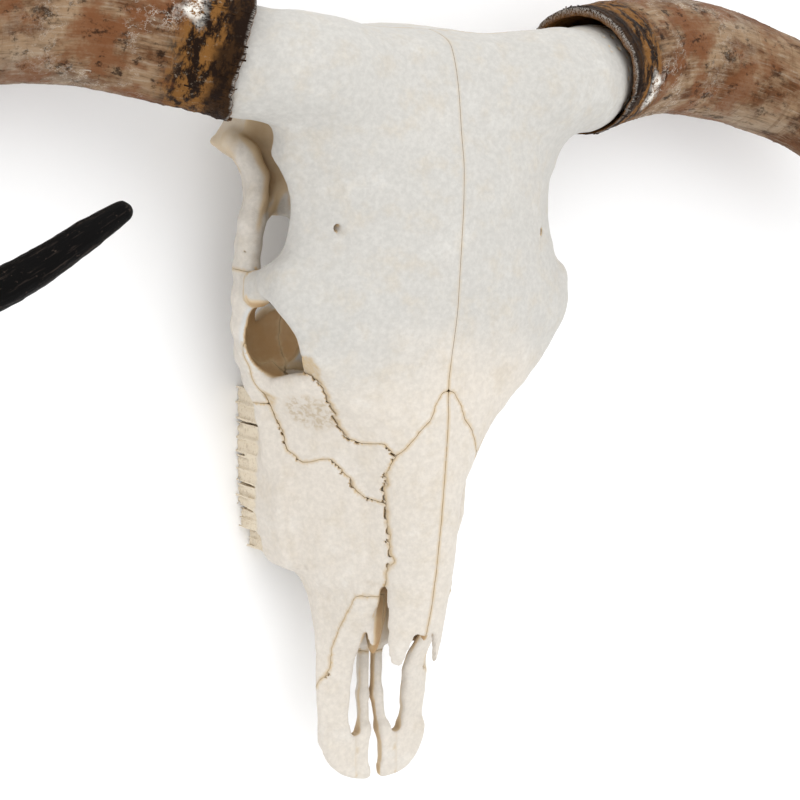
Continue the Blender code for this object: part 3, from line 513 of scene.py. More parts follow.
def half_distances(x, y, z):
    """Distances on the left half, from places in the skull's own frame."""
    return fine_bone(np.sqrt(x * x + 0.25), -y, z)


def untangle(field, step):
    """Opens the places where two bodies would touch along one edge only."""
    for u, v in ((0, 1), (0, 2), (1, 2)) * 2:
        corner = {}
        for a, b in ((0, 0), (0, 1), (1, 0), (1, 1)):
            part = [slice(None)] * 3
            part[u] = slice(a, field.shape[u] - 1 + a)
            part[v] = slice(b, field.shape[v] - 1 + b)
            corner[a, b] = field[tuple(part)]
        for one, two, three, four in (((0, 0), (1, 1), (0, 1), (1, 0)),
                                      ((0, 1), (1, 0), (0, 0), (1, 1))):
            touching = ((corner[one] < 0) & (corner[two] < 0)
                        & (corner[three] >= 0) & (corner[four] >= 0))
            corner[one][touching] = 0.02 * step
    return field


def net_surface(field, low, step):
    """One point in each grid cell that the surface crosses, and a quad round each crossing."""
    inside = field < 0
    cells = [n - 1 for n in field.shape]
    filled = np.zeros(cells, int)
    for corner in np.ndindex(2, 2, 2):
        filled += inside[tuple(slice(corner[i], cells[i] + corner[i]) for i in range(3))]
    crossed = (filled > 0) & (filled < 8)
    number = np.full(cells, -1)
    where = np.argwhere(crossed)
    number[crossed] = np.arange(len(where))
    total = np.zeros((len(where), 3))
    weight = np.zeros(len(where))
    quads = []
    for axis in range(3):
        u, v = [k for k in range(3) if k != axis]
        for near in ((0, 0), (0, 1), (1, 0), (1, 1)):
            start = where.copy()
            start[:, u] += near[0]
            start[:, v] += near[1]
            end = start.copy()
            end[:, axis] += 1
            a = field[tuple(start.T)]
            b = field[tuple(end.T)]
            cut = (a < 0) != (b < 0)
            point = (start - where).astype(float)
            point[cut, axis] = (a / (a - b + 1e-30))[cut]
            total[cut] += point[cut]
            weight[cut] += 1
        first = [slice(1, -1)] * 3
        second = [slice(1, -1)] * 3
        first[axis] = slice(0, -1)
        second[axis] = slice(1, None)
        start_inside = inside[tuple(first)]
        change = start_inside != inside[tuple(second)]
        edge = np.argwhere(change)
        edge[:, u] += 1
        edge[:, v] += 1
        ring = []
        for back_u, back_v in ((1, 1), (0, 1), (0, 0), (1, 0)):
            cell = edge.copy()
            cell[:, u] -= back_u
            cell[:, v] -= back_v
            ring.append(number[tuple(cell.T)])
        ring = np.stack(ring, 1)
        outward = start_inside[change] if axis != 1 else ~start_inside[change]
        ring[~outward] = ring[~outward][:, ::-1]
        quads.append(ring)
    points = (where + total / weight[:, None]) * step + np.array(low)
    return points, np.concatenate(quads)


def slope_and_value(grid, low, step, points):
    """A grid's values and their slopes at the points."""
    value = look_up(grid, low, step, points)
    slope = np.zeros_like(points)
    for axis in range(3):
        ahead = points.copy()
        ahead[:, axis] += 0.5 * step
        behind = points.copy()
        behind[:, axis] -= 0.5 * step
        slope[:, axis] = (look_up(grid, low, step, ahead) - look_up(grid, low, step, behind)) / step
    return value, slope


def sharpen(points, field, cut, half, step):
    """Pulls the points beside a suture out to the edge between the bone's surface and the cut."""
    low = HALF_LOW
    turn = np.where(points[:, :1] < 0, -1.0, 1.0) * np.array([1, 0, 0]) + np.array([0, 1, 1])
    place = points * turn
    near = np.abs(look_up(cut, low, step, place) + half) < 0.9 * step
    near &= np.abs(look_up(field, low, step, place)) < 0.9 * step
    moved = place[near]
    for _ in range(3):
        f, f_slope = slope_and_value(field, low, step, moved)
        c, c_slope = slope_and_value(cut, low, step, moved)
        c = c + half
        ff = np.sum(f_slope ** 2, 1)
        cc = np.sum(c_slope ** 2, 1)
        fc = np.sum(f_slope * c_slope, 1)
        spread = np.maximum(ff * cc - fc * fc, 0.15 * ff * cc + 1e-9)
        first = (-f * cc + c * fc) / spread
        second = (-c * ff + f * fc) / spread
        shift = first[:, None] * f_slope + second[:, None] * c_slope
        length = np.linalg.norm(shift, axis=1)[:, None] + 1e-9
        moved = moved + shift * np.minimum(1, 0.5 * step / length)
    far = np.linalg.norm(moved - place[near], axis=1) > 1.2 * step
    moved[far] = place[near][far]
    place[near] = moved
    return place * turn


def largest_piece(points, quads):
    """Drops the crumbs that parting leaves behind."""
    label = np.arange(len(points))
    a = quads[:, [0, 1, 2, 3]].ravel()
    b = quads[:, [1, 2, 3, 0]].ravel()
    while True:
        low = np.minimum(label[a], label[b])
        fresh = label.copy()
        np.minimum.at(fresh, a, low)
        np.minimum.at(fresh, b, low)
        for _ in range(4):
            fresh = fresh[fresh]
        if np.array_equal(fresh, label):
            break
        label = fresh
    names, counts = np.unique(label, return_counts=True)
    keep = label == names[np.argmax(counts)]
    number = np.cumsum(keep) - 1
    return points[keep], number[quads[keep[quads[:, 0]]]]


def point_normals(points, quads):
    """Directions out of the surface at its points."""
    across = np.cross(points[quads[:, 2]] - points[quads[:, 0]],
                      points[quads[:, 3]] - points[quads[:, 1]])
    total = np.zeros_like(points)
    for corner in range(4):
        for axis in range(3):
            total[:, axis] += np.bincount(quads[:, corner], across[:, axis], len(points))
    return total / (np.linalg.norm(total, axis=1)[:, None] + 1e-12)


def cell_corners(t):
    """Each corner of a grid cell, with its share at the places t across the cell."""
    for corner in np.ndindex(2, 2, 2):
        weight = np.ones(len(t))
        for axis in range(3):
            weight = weight * (t[:, axis] if corner[axis] else 1 - t[:, axis])
        yield corner, weight


def noise(points, size, seed):
    """Smooth random values from -1 to 1 that change over the given size."""
    place = points / np.array(size, float) + 31.7 * seed
    cell = np.floor(place).astype(np.int64)
    t = place - cell
    t = t * t * (3 - 2 * t)
    out = np.zeros(len(points))
    for corner, weight in cell_corners(t):
        key = ((cell[:, 0] + corner[0]) * 73856093 ^ (cell[:, 1] + corner[1]) * 19349663
               ^ (cell[:, 2] + corner[2]) * 83492791) & 0x7FFFFFFF
        key = (key ^ (key >> 13)) * 1274126177 & 0x7FFFFFFF
        key = (key ^ (key >> 15)) * 668265263 & 0x7FFFFFFF
        out += weight * (key / 0x3FFFFFFF - 1)
    return out


def within(value, low, high):
    """Rises smoothly from 0 at low to 1 at high."""
    t = np.clip((value - low) / (high - low), 0, 1)
    return t * t * (3 - 2 * t)


def look_up(grid, low, step, points):
    """Values of a grid between its points."""
    place = (points - low) / step
    top = np.array(grid.shape) - 2
    cell = np.clip(np.floor(place).astype(int), 0, top)
    t = np.clip(place - cell, 0, 1)
    out = np.zeros(len(points))
    for corner, weight in cell_corners(t):
        out += weight * grid[cell[:, 0] + corner[0], cell[:, 1] + corner[1], cell[:, 2] + corner[2]]
    return out


# ---- sutures ----
def outline_distance(outline, a, b):
    """Signed distance of (a, b) from a closed outline, negative inside."""
    ring = np.array(outline, float)
    nearest = np.full(a.shape, 1e9)
    inside = np.zeros(a.shape, bool)
    for (a0, b0), (a1, b1) in zip(ring, np.roll(ring, -1, 0)):
        da, db = a1 - a0, b1 - b0
        t = np.clip(((a - a0) * da + (b - b0) * db) / (da * da + db * db), 0, 1)
        nearest = np.minimum(nearest, (a - a0 - t * da) ** 2 + (b - b0 - t * db) ** 2)
        if db != 0:
            crosses = (b0 > b) != (b1 > b)
            inside ^= crosses & (a < a0 + (b - b0) / db * da)
    return np.where(inside, -1, 1) * np.sqrt(nearest)


def wander(a, b, reach):
    """Small teeth along a suture: the pair of coordinates moved a little to and fro."""
    flat = np.stack([a.ravel(), b.ravel(), 0 * a.ravel()], 1)
    da = noise(flat, 4.2, 3) * 0.7 + noise(flat, 11, 4) * 0.9
    db = noise(flat, 3.8, 5) * 0.7 + noise(flat, 12, 6) * 0.9
    fade = within(a, 0.0, 9.0)
    return a + reach * fade * da.reshape(a.shape), b + reach * db.reshape(b.shape)


def under(outline):
    """Closes an under surface into a region that reaches well over the skull."""
    return tuple(outline) + ((outline[-1][0], 90), (outline[0][0], 90))


def bone_fields(field, step, reach):
    """Yields each bone of the left half, taken out of the skull in turn, then what is left."""
    low = HALF_LOW
    axes = [low[i] + step * np.arange(field.shape[i]) for i in range(3)]
    x_axis, s_axis, z_axis = axes[0], -axes[1], axes[2]
    plan = wander(*np.meshgrid(x_axis, s_axis, indexing="ij"), reach)
    front = np.meshgrid(x_axis, z_axis, indexing="ij")
    side = wander(*np.meshgrid(s_axis, z_axis, indexing="ij"), reach)
    x_line = x_axis[:, None, None]
    z_line = z_axis[None, None, :]

    def seen_from_above(outline):
        return outline_distance(outline, *plan)[:, :, None]

    def seen_from_front(outline):
        return outline_distance(under(outline), *front)[:, None, :]

    frontal = ((0, -60),) + FRONTONASAL + FRONTOLACRIMAL[1:] + (
        (140, 212), (140, 104), (300, 104), (300, -60))
    nasal = FRONTONASAL + NASOMAXILLARY[1:] + ((27, 376), (27, 460), (0, 460))
    lacrimal = FRONTOLACRIMAL[::-1] + NASOMAXILLARY[1:3] + LACRIMOMAXILLARY + ((124, 216),)
    cheek = ((84, 166), (84, 232), (89, 262), (160, 262), (160, 166))
    wall = PREMAXILLARY + ((600, -100), (600, -30))
    bar = ((-1, 447), (-1, 600), (18, 600), (18, 447))
    wall_region = np.maximum(outline_distance(wall, *side)[None, :, :], 17 - x_line)
    bar_region = np.maximum(seen_from_above(bar), np.abs(z_line + 75) - 45)
    regions = {
        "frontal": np.maximum(seen_from_above(frontal), seen_from_front(FRONTAL_UNDERSIDE)),
        "nasal": np.maximum(seen_from_above(nasal), seen_from_front(NASAL_UNDERSIDE)),
        "lacrimal": np.maximum(seen_from_above(lacrimal), seen_from_front(LACRIMAL_UNDERSIDE)),
        "zygomatic": np.maximum(seen_from_above(cheek), np.abs(z_line + 105) - 45),
        "premaxilla": np.minimum(wall_region, bar_region),
        "maxilla": (BONE_FRONT - plan[1])[:, :, None] + 0 * z_line,
    }
    half = SUTURE_GAP / 2
    taken = np.full(field.shape, -1e3)
    for name, region in regions.items():
        cut = np.maximum(taken, region)
        if name in ("maxilla", "nasal", "frontal", "premaxilla"):
            cut = np.maximum(cut, -x_line)
        yield name, np.maximum(field, cut + half), cut
        taken = np.maximum(taken, -region)
    left_over = np.maximum(field, taken + half)
    yield "braincase", np.concatenate([left_over[:0:-1], left_over]), taken


# ---- surface relief and finish masks ----
def region_masks(p):
    """Where each kind of surface lies, from 0 to 1, in the skull's own frame."""
    X = np.abs(p[:, 0])
    s = -p[:, 1]
    z = p[:, 2]
    place = (X, s, z)
    teeth = within(-z, 127, 134) * within(s, 246, 252) * within(X, 54, 58) * within(-s, -386, -380)
    core = within(X, 142, 150) * within(-s, -10, -2) * within(p[:, 0], 0, 10)
    core = np.maximum(core, within(X, 160, 168))
    pitted = within(-ellipsoid((p[:, 0], s, z), (-82, 264, -58), (22, 17, 26)), -2, 6)
    pitted = np.maximum(pitted, 0.5 * within(-ellipsoid((p[:, 0], s, z), (82, 260, -58),
                                                        (20, 12, 24)), -2, 6))
    bowl = orbit_floor(place)
    arch = within(-cheek_arch(place), -3.0, -0.6) * within(bowl, 0.8, 2.4)
    socket = within(-blend(eye_socket(place), bowl, 8), -4.0, -1.0)
    socket = socket * (1 - arch * within(-z, 80, 88))
    bar_face = within(X, 88, 94) * within(-s, -188, -182) * within(z, -84, -76)
    socket = socket * (1 - bar_face)
    temple = within(-blend(temple_hollow(place), temple_back(place), 8), -5.5, -1.5)
    temple = temple * within(-z, 46, 62) * (1 - 0.85 * arch)
    outer_side = X - np.interp(s, (76, 86, 101, 116, 133, 150), (114, 107, 101, 103, 108, 111))
    temple = temple * (1 - 0.9 * within(outer_side, -3, 4))
    nose = within(-ellipsoid(place, (0, 404, -56), (24, 62, 34)), -3.0, 0.5)
    nose = nose * within(-z, 30, 40) * within(s, 300, 345)
    rim = within(-np.abs(bowl), -6.0, -2.5) * (1 - socket) * within(s, 176, 184)
    rim = rim * within(-s, -236, -230) * within(-z, 78, 86)
    knob = within(-ellipsoid(place, (112, 78, -138), (20, 24, 24)), -6, 4)
    return {"teeth": teeth, "core": core, "pitted": pitted, "socket": socket, "temple": temple,
            "nose": nose, "rim": rim, "knob": knob}


def shut_in(points, normals, field, rough, step, block_size):
    """How far a surface lies in a hollow, from 0 in the open to 1."""
    low = HALF_LOW
    total = np.zeros(len(points))
    for reach in (5.0, 10.0, 20.0, 34.0):
        away = points + normals * reach
        away[:, 0] = np.abs(away[:, 0])
        if reach < 12:
            value = look_up(field, low, step, away)
        else:
            value = look_up(rough, low + block_size / 2, block_size, away)
        total += np.clip(value / reach, 0, 1)
    return np.clip(1 - total / 4, 0, 1)


def relief(p, masks, hollow, depth):
    """Heights to add to the bone's surface: swells, fine grain, pits and enamel."""
    swell = noise(p, 38, 1) * 0.55 + noise(p, 14, 2) * 0.22
    grain = noise(p, 4.5, 7) * 0.10 + noise(p, (2.4, 7.0, 2.4), 8) * 0.07
    rough = -np.clip(noise(p, 4.6, 9) - 0.05, 0, 1) * 2.2 + noise(p, 3.0, 10) * 0.5
    pits = np.clip(noise(p, (6.0, 3.8, 3.8), 11) - 0.32, 0, 1)
    enamel = noise(p, (3.0, 2.6, 16.0), 12) * 0.7 + noise(p, 3.0, 13) * 0.3
    open_face = 1 - within(hollow, 0.35, 0.6)
    bare = (1 - masks["teeth"]) * (1 - masks["core"])
    height = depth * (swell * (1 - masks["teeth"]) + grain * bare * (0.5 + open_face))
    height += masks["pitted"] * bare * rough
    height += masks["teeth"] * enamel - masks["core"] * pits * 6.5
    height += (masks["socket"] + masks["temple"]) * bare * noise(p, 6.0, 14) * 0.35
    return height, masks["core"] * within(pits, 0.02, 0.16)


def rest_matrix():
    """Takes the skull's own frame, in metres, to where the skull lies on the floor."""
    low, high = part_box("braincase")
    angle = math.atan(REST_SLOPE)
    middle = (low.x + high.x) / 2
    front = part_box("premaxilla_left")[0].y - MUZZLE_REACH * MM
    sole = (REST_Z + TOOTH_WEAR - REST_S * REST_SLOPE) * math.cos(angle) * MM
    return Matrix.Translation((middle, front, -sole)) @ Matrix.Rotation(angle, 4, "X")


def to_floor(points):
    """Millimetres in the skull's own frame to metres in the row's frame."""
    matrix = np.array(rest_matrix())
    return points * MM @ matrix[:3, :3].T + matrix[:3, 3]


def mesh_object(name, points, quads):
    """A smooth object from points and quads, with its crisp edges marked."""
    mesh = bpy.data.meshes.new(name)
    mesh.vertices.add(len(points))
    mesh.vertices.foreach_set("co", np.asarray(points, np.float32).ravel())
    mesh.loops.add(quads.size)
    mesh.loops.foreach_set("vertex_index", np.asarray(quads, np.int32).ravel())
    mesh.polygons.add(len(quads))
    mesh.polygons.foreach_set("loop_start", np.arange(len(quads), dtype=np.int32) * 4)
    mesh.update(calc_edges=True)
    mesh.polygons.foreach_set("use_smooth", np.full(len(quads), True))
    mesh.validate()
    mesh.set_sharp_from_angle(angle=math.radians(CRISP_ANGLE))
    thing = bpy.data.objects.new(name, mesh)
    bpy.context.scene.collection.objects.link(thing)
    return thing


def write_colour(mesh, name, channels):
    """Four masks as one colour attribute."""
    attribute = mesh.attributes.new(name, "FLOAT_COLOR", "POINT")
    values = np.stack([np.clip(channel, 0, 1) for channel in channels], 1).astype(np.float32)
    attribute.data.foreach_set("color", values.ravel())


def write_vector(mesh, name, values):
    """One vector for each point."""
    attribute = mesh.attributes.new(name, "FLOAT_VECTOR", "POINT")
    attribute.data.foreach_set("vector", np.asarray(values, np.float32).ravel())


def finish_bone(name, points, quads, grids, cut, relief_scale):
    """One bone: its relief, its masks and its place on the floor."""
    field, rough, step, block_size = grids
    normals = point_normals(points, quads)
    masks = region_masks(points)
    hollow = shut_in(points, normals, field, rough, step, block_size)
    mirrored = points * 1.0
    mirrored[:, 0] = np.abs(mirrored[:, 0])
    from_suture = -look_up(cut, HALF_LOW, step, mirrored)
    suture = 1 - within(from_suture, 0.3, 1.3)
    faint = within(-np.abs(points[:, 0]), -12, -6) * within(points[:, 1], -232, -215)
    suture *= 1 - 0.6 * faint
    height, pits = relief(points, masks, hollow, relief_scale)
    height *= within(from_suture, 0.2, 1.6)
    points = points + normals * height[:, None]
    low = resting_height(-points[:, 1]) + TOOTH_WEAR
    points[:, 2] = np.maximum(points[:, 2], low)
    thing = mesh_object(name, to_floor(points), quads)
    X = np.abs(points[:, 0])
    s = -points[:, 1]
    # Brown in the eye socket, the temple, the nasal cavity, on the knob behind the ear and in the
    # core's pits, with painted shade added from the hollow measure.
    stain_and_shade = np.maximum(masks["socket"] * 0.95, masks["temple"] * 0.66)
    stain_and_shade = np.maximum(stain_and_shade, masks["nose"])
    # Painted shade: the deeper the surface lies in a hollow, the browner it is painted.
    stain_and_shade = np.maximum(stain_and_shade, within(hollow, 0.42, 0.85) * 0.8)
    stain_and_shade = np.maximum(stain_and_shade, masks["knob"] * 0.36)
    stain_and_shade = np.maximum(stain_and_shade * (1 - masks["core"]), pits)
    warm = within(s - 0.35 * X, 150, 250)
    warm = np.maximum(warm, within(-points[:, 2], 62, 100) * 0.7)
    write_colour(thing.data, "masks", (stain_and_shade, suture, warm, masks["rim"]))
    # The hollow measure goes in the alpha; the material paints shade from it.
    write_colour(thing.data, "spots", (masks["teeth"], masks["core"], masks["pitted"], hollow))
    return thing


def horn_path(curl):
    """Centreline and radius of a sheath: out, slightly back, then round and forward."""
    stations = [(140, 15, -68, 47.5), (155, 12, -76, 47), (200, 4, -97, 46), (250, -2, -112, 45),
                (295, 0, -119, 44.5), (350, 11, -118, 42), (404.9, 31, -108, 39.5)]
    bend_radius = 75
    for heading, z, radius in ((60, -85, 36.5), (100, -55, 30), (140, -24, 23), (180, 2, 16.5)):
        angle = math.radians(heading)
        outward = curl * max(0, heading - 100) / 160
        stations.append((378 + bend_radius * math.sin(angle) + outward,
                         101 - bend_radius * math.cos(angle), z, radius))
    for share, x, s, z, radius in ((0.6, 352, 168, 17, 13.0), (0.7, 330, 154, 26, 12.0),
                                   (0.85, 302, 133, 35, 9.6), (1.0, 274, 113, 41, 6.4)):
        stations.append((x + share * curl, s, z, radius))
    table = np.array(stations, float)
    along = np.concatenate([[0], np.cumsum(np.linalg.norm(np.diff(table[:, :3], axis=0), axis=1))])
    return table, along


def horn_rows(curl, spacing):
    """Centre, radius and distance from the rim, row by row to the rounded end."""
    table, along = horn_path(curl)
    last = along[-1]
    cap = last - TIP_ROUNDING * np.array([1.0, 0.8, 0.6, 0.42, 0.27, 0.15, 0.06, 0.015])
    places = np.append(np.arange(-RIM_REACH, cap[0] - 1, spacing), cap)
    slopes = np.gradient(table, along, axis=0)
    i = np.clip(np.searchsorted(along, places, side="right") - 1, 0, len(along) - 2)
    step = (along[i + 1] - along[i])[:, None]
    t = np.clip((places - along[i])[:, None] / step, 0, 1)
    rows = (table[i] + (table[i + 1] - table[i]) * t * t * (3 - 2 * t)
            + (t ** 3 - 2 * t * t + t) * step * slopes[i]
            + (t ** 3 - t * t) * step * slopes[i + 1])
    before = places < 0
    rows[before, :3] += places[before, None] * slopes[0, :3]
    left = np.clip(last - places, 0, TIP_ROUNDING)
    rows[:, 3] *= np.sqrt(np.clip(1 - ((TIP_ROUNDING - left) / TIP_ROUNDING) ** 2, 0.0005, 1))
    return rows, places


def carried_frames(centres):
    """Two directions across the path at each row, carried along without twist."""
    along = np.gradient(centres, axis=0)
    along /= np.linalg.norm(along, axis=1)[:, None]
    first = np.cross(along[0], (0, 0, 1.0))
    first /= np.linalg.norm(first)
    firsts = []
    for direction in along:
        first = first - direction * (first @ direction)
        first = first / np.linalg.norm(first)
        firsts.append(first)
    firsts = np.array(firsts)
    return along, firsts, np.cross(along, firsts)


def at_rows(moved, places, values):
    """Vectors given row by row, read at places between the rows."""
    return np.stack([np.interp(moved, places, values[:, k]) for k in range(3)], 1)


def sheath_mesh(name, side, curl, sides, spacing):
    """A closed sheath: up the inner wall, over the ragged rim, and along the outside to the tip."""
    rows, places = horn_rows(curl, spacing)
    centres = rows[:, :3] * np.array([side, -1, 1])
    along, across, up = carried_frames(centres)
    angle = 2 * math.pi * np.arange(sides) / sides
    circle = np.stack([np.cos(angle), np.sin(angle), 0 * angle], 1)
    edge = circle * RAG_SCALE
    rag = noise(edge, 24, 21 + side) * 4.2 + noise(edge, 7, 22 + side) * 2.2
    rag += np.clip(noise(edge, 3.2, 23 + side), 0, 1) * 2.2
    inner = [t for t in places if 0 <= t <= HOLLOW_DEPTH][::-1]
    outer = [t for t in places if t >= 0]
    rings, straight, zones, lengthwise = [], [], [], []
    for wall, stretch in ((0, inner), (1, outer)):
        for t in stretch:
            moved = t + rag * math.exp(-t / 9)
            centre = at_rows(moved, places, centres)
            a = at_rows(moved, places, across)
            b = at_rows(moved, places, up)
            radius = np.interp(moved, places, rows[:, 3])
            if wall == 0:
                radius = np.interp(t, HOLLOW_T, HOLLOW_RADIUS) + 0 * radius
                centre[:, 1] -= HOLLOW_SHIFT * max(0, 1 - t / 60)
            else:
                radius = radius - 1.1 * math.exp(-t / 3)
            rings.append(centre + a * (radius * circle[:, 0])[:, None]
                         + b * (radius * circle[:, 1])[:, None])
            straight.append(np.stack([radius * circle[:, 0], radius * circle[:, 1],
                                      moved + 0 * radius], 1) * MM)
            lengthwise.append(at_rows(moved, places, along))
            zones.append(np.stack([np.exp(-t / 2.2) + 0 * radius, t / places[-1] + 0 * radius,
                                   (1.0 - wall) + 0 * radius, np.exp(-t / 9) + 0 * radius], 1))
    points = np.concatenate(rings)
    faces = []
    count = len(rings)
    for ring in range(count - 1):
        start = ring * sides
        for k in range(sides):
            after = (k + 1) % sides
            faces.append((start + k, start + after, start + sides + after, start + sides + k))
    faces.append(tuple(range(sides - 1, -1, -1)))
    faces.append(tuple((count - 1) * sides + k for k in range(sides)))
    if side < 0:
        faces = [face[::-1] for face in faces]
    mesh = bpy.data.meshes.new(name)
    mesh.from_pydata(to_floor(points).tolist(), [], faces)
    if signed_volume(points, faces) < 0:
        mesh.flip_normals()
    mesh.polygons.foreach_set("use_smooth", np.full(len(mesh.polygons), True))
    write_vector(mesh, "straight", np.concatenate(straight))
    turn = np.array(rest_matrix())[:3, :3]
    write_vector(mesh, "lengthwise", np.concatenate(lengthwise) @ turn.T)
    write_colour(mesh, "zones", np.concatenate(zones).T)
    thing = bpy.data.objects.new(name, mesh)
    bpy.context.scene.collection.objects.link(thing)
    return thing


def signed_volume(points, faces):
    """Six times the volume inside the faces, negative if they face inwards."""
    quads = np.array([face for face in faces if len(face) == 4])
    a, b, c, d = (points[quads[:, k]] for k in range(4))
    return float(np.sum(a * np.cross(b, c)) + np.sum(a * np.cross(c, d)))


# ---- node helpers ----
def add(tree, kind, inputs=None, **settings):
    """A node with its settings, and its inputs given as values or as sockets to link."""
    node = tree.nodes.new(kind)
    for key, value in settings.items():
        setattr(node, key, value)
    for key, value in (inputs or {}).items():
        if isinstance(value, bpy.types.NodeSocket):
            tree.links.new(value, node.inputs[key])
        else:
            node.inputs[key].default_value = value
    return node


def mix(tree, factor, a, b, blend_type="MIX"):
    """Colour b laid over colour a."""
    node = add(tree, "ShaderNodeMix", {0: factor, 6: a, 7: b}, data_type="RGBA",
               blend_type=blend_type)
    return node.outputs[2]


def sums(tree, operation, a, b=0.0, c=0.0):
    """One step of arithmetic."""
    return add(tree, "ShaderNodeMath", {0: a, 1: b, 2: c}, operation=operation).outputs[0]


def times(tree, first, *others):
    """The product of all the values."""
    for other in others:
        first = sums(tree, "MULTIPLY", first, other)
    return first


def ramp_between(tree, value, low, high, start=0.0, end=1.0):
    """Runs smoothly from start to end as the value goes from low to high."""
    node = add(tree, "ShaderNodeMapRange", {0: value, 1: low, 2: high, 3: start, 4: end},
               interpolation_type="SMOOTHSTEP")
    return node.outputs[0]


def paint_over(tree, colour, layers):
    """Lays on colours in turn: each where its value runs from low to high, up to its share."""
    for value, low, high, share, paint in layers:
        colour = mix(tree, ramp_between(tree, value, low, high, 0.0, share), colour, paint)
    return colour


def cloud(tree, vector, scale, detail=3.0, roughness=0.55):
    """Soft random values from 0 to 1."""
    node = add(tree, "ShaderNodeTexNoise", {"Vector": vector, "Scale": scale, "Detail": detail,
                                            "Roughness": roughness})
    return node.outputs["Fac"]


def split(tree, colour):
    """The three channels of a colour."""
    return add(tree, "ShaderNodeSeparateColor", {0: colour}).outputs


def group_sockets(tree, inputs, outputs):
    """Names the inputs and outputs of a node group."""
    for kind, sockets in (("INPUT", inputs), ("OUTPUT", outputs)):
        for name, socket_type, default in sockets:
            socket = tree.interface.new_socket(name, in_out=kind, socket_type=socket_type)
            if default is not None:
                socket.default_value = default


# ---- bone materials ----
def bone_surface_group():
    """Colour, roughness and height of dry bone, from the masks on its surface, with painted shade
    in its hollows.
    """
    tree = bpy.data.node_groups.new("Bone surface", "ShaderNodeTree")
    group_sockets(
        tree,
        (("Vector", "NodeSocketVector", None), ("Masks", "NodeSocketColor", None),
         ("Spots", "NodeSocketColor", None), ("Rim", "NodeSocketFloat", 0.0),
         ("Hollow", "NodeSocketFloat", 0.0),
         ("Cool", "NodeSocketColor", (0.6, 0.6, 0.6, 1)),
         ("Warm", "NodeSocketColor", (0.6, 0.6, 0.6, 1)),
         ("Tan", "NodeSocketColor", (0.5, 0.4, 0.3, 1)),
         ("Brown", "NodeSocketColor", (0.3, 0.2, 0.1, 1)),
         ("Tooth", "NodeSocketColor", (0.6, 0.5, 0.4, 1))),
        (("Color", "NodeSocketColor", None), ("Roughness", "NodeSocketFloat", None),
         ("Height", "NodeSocketFloat", None)))
    get = tree.nodes.new("NodeGroupInput").outputs
    vector = get["Vector"]
    stain_and_shade, suture, warm = split(tree, get["Masks"])[:3]
    tooth, core, pitted = split(tree, get["Spots"])[:3]
    broad = cloud(tree, vector, 17, 4)
    blotch = cloud(tree, vector, 55, 5, 0.62)
    fine = cloud(tree, vector, 260, 5, 0.65)
    speck = cloud(tree, vector, 1500, 3, 0.7)
    warmth = sums(tree, "ADD", warm, sums(tree, "MULTIPLY_ADD", broad, 1.3, -0.65))
    colour = mix(tree, ramp_between(tree, warmth, 0.0, 1.0), get["Cool"], get["Warm"])
    chalk = cloud(tree, vector, 33, 5, 0.7)
    colour = paint_over(tree, colour, ((blotch, 0.46, 0.72, 0.34, (0.50, 0.43, 0.33, 1)),
                                       (chalk, 0.52, 0.74, 0.25, (0.68, 0.67, 0.64, 1))))
    grain = ramp_between(tree, fine, 0.3, 0.75, 0.90, 1.05)
    grain_colour = add(tree, "ShaderNodeCombineColor", {0: grain, 1: grain, 2: grain}).outputs[0]
    colour = mix(tree, 1.0, colour, grain_colour, "MULTIPLY")
    dirt = times(tree, ramp_between(tree, speck, 0.62, 0.74), 0.22)
    colour = mix(tree, dirt, colour, (0.36, 0.28, 0.18, 1))
    colour = mix(tree, times(tree, get["Rim"], 0.85), colour, (0.56, 0.57, 0.57, 1))
    # The stain mask holds real stain and painted shade from the hollows; both are laid on in tan,
    # then in brown.
    varied = sums(tree, "ADD", stain_and_shade, sums(tree, "MULTIPLY_ADD", blotch, 0.5, -0.25))
    has_stain_and_shade = ramp_between(tree, stain_and_shade, 0.03, 0.3)
    light_stain_and_shade = times(tree, ramp_between(tree, varied, 0.05, 0.55), has_stain_and_shade)
    colour = mix(tree, light_stain_and_shade, colour, get["Tan"])
    deep_stain_and_shade = times(tree, ramp_between(tree, varied, 0.5, 1.1), has_stain_and_shade)
    colour = mix(tree, deep_stain_and_shade, colour, get["Brown"])
    line = times(tree, suture, ramp_between(tree, fine, 0.25, 0.6, 0.35, 0.85))
    colour = mix(tree, line, colour, (0.47, 0.35, 0.20, 1))
    enamel_line = ramp_between(tree, cloud(tree, vector, 420, 4, 0.7), 0.52, 0.66, 0.0, 0.55)
    enamel = mix(tree, enamel_line, get["Tooth"], (0.33, 0.22, 0.11, 1))
    colour = mix(tree, times(tree, tooth, 0.85), colour, enamel)
    gritty = times(tree, pitted, ramp_between(tree, fine, 0.42, 0.62, 0.0, 0.75))
    colour = mix(tree, gritty, colour, (0.38, 0.30, 0.20, 1))
    # Painted shade: the surface is darkened towards brown the deeper it lies in a hollow.
    colour = paint_over(tree, colour, ((get["Hollow"], 0.45, 0.95, 0.35, (0.30, 0.21, 0.12, 1)),))
    rough = ramp_between(tree, fine, 0.2, 0.8, 0.55, 0.74)
    rough = sums(tree, "SUBTRACT", rough, times(tree, tooth, 0.2))
    pores = add(tree, "ShaderNodeTexVoronoi", {"Vector": vector, "Scale": 620.0}).outputs[0]
    pore = ramp_between(tree, pores, 0.0, 0.28, 0.0, 1.0)
    height = sums(tree, "MULTIPLY_ADD", speck, 0.35, times(tree, pore, 0.3))
    height = sums(tree, "MULTIPLY_ADD", fine, 0.8, height)
    height = sums(tree, "MULTIPLY_ADD", core, times(tree, blotch, 0.6), height)
    out = tree.nodes.new("NodeGroupOutput")
    tree.links.new(colour, out.inputs["Color"])
    tree.links.new(rough, out.inputs["Roughness"])
    tree.links.new(height, out.inputs["Height"])
    return tree


